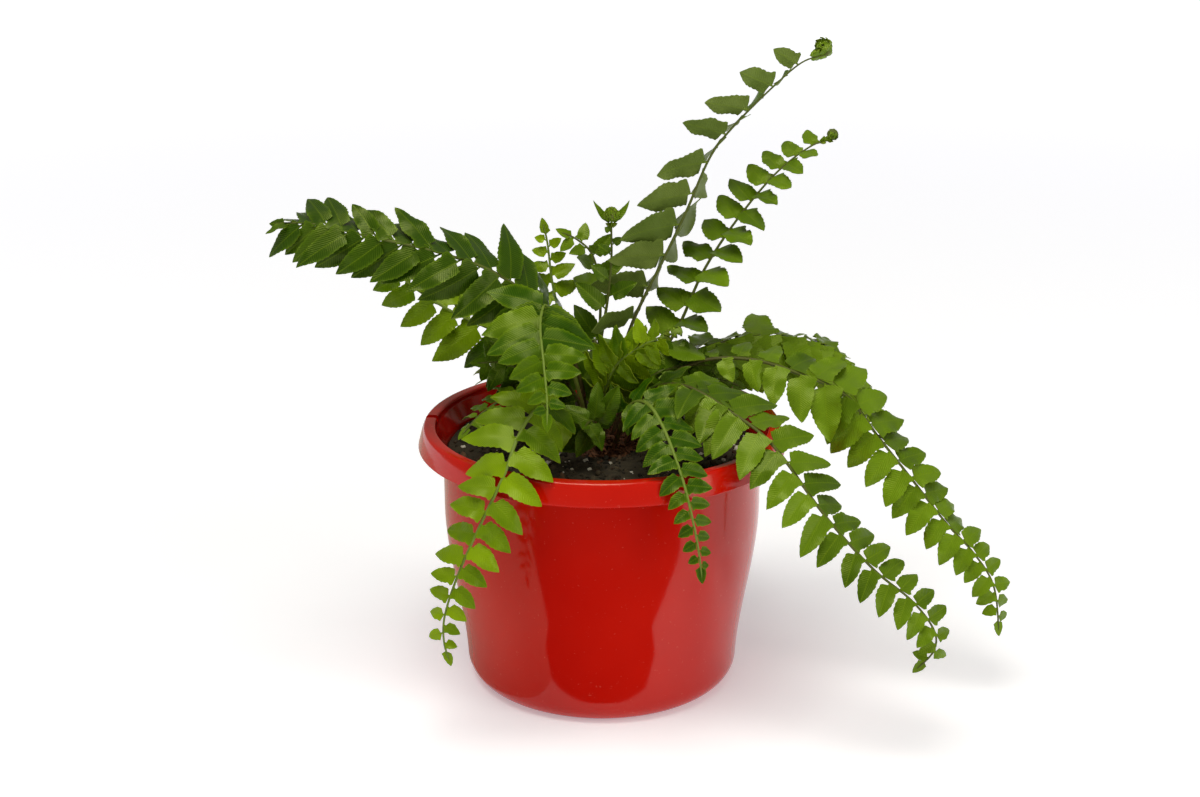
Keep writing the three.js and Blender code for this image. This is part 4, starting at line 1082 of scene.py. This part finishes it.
class Signal:
    """A value in a material, for formulas written as with numbers"""

    def __init__(self, tree, socket):
        self.tree = tree
        self.socket = socket

    def do(self, operation, *others):
        made = node(self.tree, "Math", dict(enumerate((self, *others))), operation=operation)
        return Signal(self.tree, made.outputs[0])

    def __add__(self, other):
        return self.do("ADD", other)

    def __sub__(self, other):
        return self.do("SUBTRACT", other)

    def __mul__(self, other):
        return self.do("MULTIPLY", other)


def object_noise(tree, scale, detail, roughness=0.5, stretch=None):
    """Noise through the object, squeezed by stretch along its axes"""
    spot = node(tree, "TexCoord").outputs["Object"]
    if stretch:
        spot = node(tree, "VectorMath", {0: spot, 1: stretch}, operation="MULTIPLY").outputs["Vector"]
    sockets = {"Vector": spot, "Scale": scale, "Detail": detail, "Roughness": roughness}
    return Signal(tree, node(tree, "TexNoise", sockets).outputs["Fac"])


def ramp(tree, factor, *stops):
    """A colour ramp between two (position, colour) stops"""
    made = node(tree, "ValToRGB", {"Fac": factor})
    for element, (position, colour) in zip(made.color_ramp.elements, stops):
        element.position = position
        element.color = colour
    return made.outputs["Color"]


def mix(tree, factor, a, b):
    return node(tree, "MixRGB", {"Fac": factor, "Color1": a, "Color2": b}).outputs["Color"]


def attribute(tree, name):
    return Signal(tree, node(tree, "Attribute", attribute_name=name).outputs["Fac"])


def leaf_material(name, dark, light, rough, let_through):
    """A living leaflet's face: mottled, ribbed and veined, with some light coming through"""
    made, tree = new_material(name)
    dark, light, rib = linear(*dark), linear(*light), linear(*PALE_RIB)
    mottle = object_noise(tree, 160, 4)
    patches = object_noise(tree, 38, 2)
    # The tone attribute holds each leaflet's random tone, with painted shade near the crown and on inner
    # fronds and painted light towards tips and on outer fronds
    level = attribute(tree, "tone") * 0.55 + patches * 0.5 + mottle * 0.12 - 0.085
    colour = ramp(tree, level, (0.15, dark), (0.85, light))
    across = attribute(tree, "across").do("ABSOLUTE")
    off_rib = across.do("DIVIDE", 0.45).do("SMOOTH_MIN", 1.0, 0.2)
    midrib = (off_rib * -1.0 + 1.0).do("MAXIMUM", 0.0)
    slanted = attribute(tree, "along") - across * 0.8
    waves = (slanted * (2 * pi / VEIN_PITCH)).do("SINE")
    veins = (waves * 0.5 + 0.5).do("POWER", 3.0)
    margin = attribute(tree, "margin").do("POWER", 2.0)
    colour = mix(tree, margin * MARGIN_SHOWN, colour, light)
    colour = mix(tree, veins * VEIN_SHOWN, colour, rib)
    colour = mix(tree, midrib * MIDRIB_SHOWN, colour, rib)
    height = mottle * 0.5 - veins * 0.6
    normal = bumps(tree, 0.5, 0.0003, height)
    surface = principled(tree, colour, rough, normal, Specular_IOR_Level=0.45, Specular_Tint=LEAF_SHEEN,
                         Coat_Weight=0.09, Coat_Roughness=0.2)
    through = node(tree, "BsdfTranslucent", {"Color": mix(tree, 0.5, colour, light), "Normal": normal})
    both = node(tree, "MixShader", {0: let_through, 1: surface, 2: through.outputs[0]})
    output(tree, both.outputs[0])
    return made


def stalk_material(name, foot, top):
    """A stalk: brown and hairy at its foot, greener towards its tip"""
    made, tree = new_material(name)
    streaks = object_noise(tree, 220, 3)
    level = streaks * 0.3 + attribute(tree, "tone") - 0.12
    colour = ramp(tree, level, (0.03, linear(*foot)), (0.4, linear(*top)))
    normal = bumps(tree, 0.5, 0.0003, streaks)
    output(tree, principled(tree, colour, 0.55, normal, Specular_IOR_Level=0.25))
    return made


def pot_material():
    """Glossy moulded plastic with faint dust, rubbing and a slightly uneven skin"""
    made, tree = new_material("pot_plastic")
    clouds = object_noise(tree, 14, 4)
    dust = object_noise(tree, 520, 2, 0.7)
    dusty = dust.do("GREATER_THAN", 0.7) * 0.22
    colour = ramp(tree, clouds, (0.3, linear(*POT_DARK)), (0.75, linear(*POT_LIGHT)))
    colour = mix(tree, dusty, colour, linear(*DUST))
    rough = clouds * 0.08 + 0.07 + dusty * 0.6
    streaks = object_noise(tree, 420, 2, stretch=(1, 1, 0.03))
    normal = bumps(tree, 0.1, 0.0006, streaks * 0.12 + object_noise(tree, 60, 2))
    output(tree, principled(tree, colour, rough, normal, Specular_IOR_Level=0.4, Specular_Tint=POT_SHEEN))
    return made


def earth_material(name, dark, light, rough, scale, depth):
    """Crumbly matter that varies by piece and by spot"""
    made, tree = new_material(name)
    grain = object_noise(tree, scale, 6, 0.65)
    level = attribute(tree, "tone") * 0.5 + grain * 0.6
    colour = ramp(tree, level, (0.3, linear(*dark)), (0.8, linear(*light)))
    output(tree, principled(tree, colour, rough, bumps(tree, 0.8, depth, grain)))
    return made


def all_materials():
    made = {"pot_plastic": pot_material()}
    for make, looks in (
        (leaf_material, LEAF_LOOKS), (stalk_material, STALK_LOOKS), (earth_material, EARTH_LOOKS),
    ):
        made.update((name, make(name, *values)) for name, values in looks.items())
    return made


# Stage

def plane(name, corners, height, material):
    mesh = bpy.data.meshes.new(name)
    mesh.from_pydata([(x, y, height) for x, y in corners], [], [tuple(range(len(corners)))])
    mesh.materials.append(material)
    made = placed(name, mesh)
    return made


def lay_floor():
    """A pale floor that fills the view and glows more the farther it is from the pot"""
    material, tree = new_material("floor")
    spot = node(tree, "TexCoord").outputs["Object"]
    away = node(tree, "VectorMath", {0: spot}, operation="LENGTH").outputs["Value"]
    glow = node(tree, "MapRange", {
        "Value": away, "From Min": FLOOR_NEAR, "From Max": FLOOR_FAR,
        "To Min": FLOOR_GLOW_NEAR, "To Max": FLOOR_GLOW_FAR,
    }).outputs[0]
    output(tree, principled(tree, FLOOR_COLOUR, 0.9, Specular_IOR_Level=0.1,
                            Emission_Color=FLOOR_GLOW_COLOUR, Emission_Strength=glow))
    far = FLOOR_REACH
    plane("floor", [(-far, -far), (far, -far), (far, far), (-far, far)], 0, material)


def card(name, grey, corners):
    """A flat card that only glossy surfaces see"""
    material, tree = new_material(name)
    output(tree, principled(tree, (grey, grey, grey, 1), 1.0))
    made = plane(name, corners, CARD_HEIGHT, material)
    made.visible_camera = False
    made.visible_diffuse = False
    made.visible_transmission = False
    made.visible_shadow = False


def area_light(name, place, size, power):
    light = bpy.data.lights.new(name, "AREA")
    light.shape = "RECTANGLE"
    light.size, light.size_y = size
    light.energy = power
    light.color = LIGHT_COLOUR
    made = placed(name, light)
    made.location = place
    made.rotation_euler = (Vector(LIT_SPOT) - Vector(place)).to_track_quat("-Z", "Y").to_euler()


def lights():
    """Two tall softboxes beside the camera, one overhead, and an even room"""
    area_light("left softbox", (-1.3, -1.0, 0.75), (0.8, 1.3), 1.4)
    area_light("right softbox", (1.35, -0.95, 0.75), (0.8, 1.3), 9)
    area_light("top softbox", (-0.2, -0.4, 1.9), (1.1, 1.1), 26)
    world = bpy.data.worlds.new("room")
    world.use_nodes = True
    sockets = world.node_tree.nodes["Background"].inputs
    sockets["Color"].default_value = (*LIGHT_COLOUR, 1)
    sockets["Strength"].default_value = ROOM_LIGHT
    bpy.context.scene.world = world


def camera():
    data = bpy.data.cameras.new("camera")
    data.sensor_width = 36
    data.lens = CAMERA_LENS
    data.clip_end = 50
    made = placed("camera", data)
    lift = radians(CAMERA_ELEVATION)
    back = Vector((0, -cos(lift), sin(lift)))
    made.location = (Vector(CAMERA_TARGET) + back * CAMERA_DISTANCE) * MM
    made.rotation_euler = (-back).to_track_quat("-Z", "Y").to_euler()
    bpy.context.scene.camera = made
    bpy.context.scene.view_settings.view_transform = "Standard"


def build():
    materials = all_materials()
    fronds = [Frond(index, values) for index, values in enumerate(FRONDS)]
    for frond in fronds:
        frond_piece(frond, materials)
    pot_piece(materials["pot_plastic"])
    soil_piece(materials["potting_mix"])
    for name, values in LITTER.items():
        scattered(name, materials, *values)
    crown_piece(materials["crown_scales"])
    stalk_scales_piece(fronds, materials["crown_scales"])
    lay_floor()
    for name, values in CARDS.items():
        card(name, *values)
    lights()
    camera()


build()
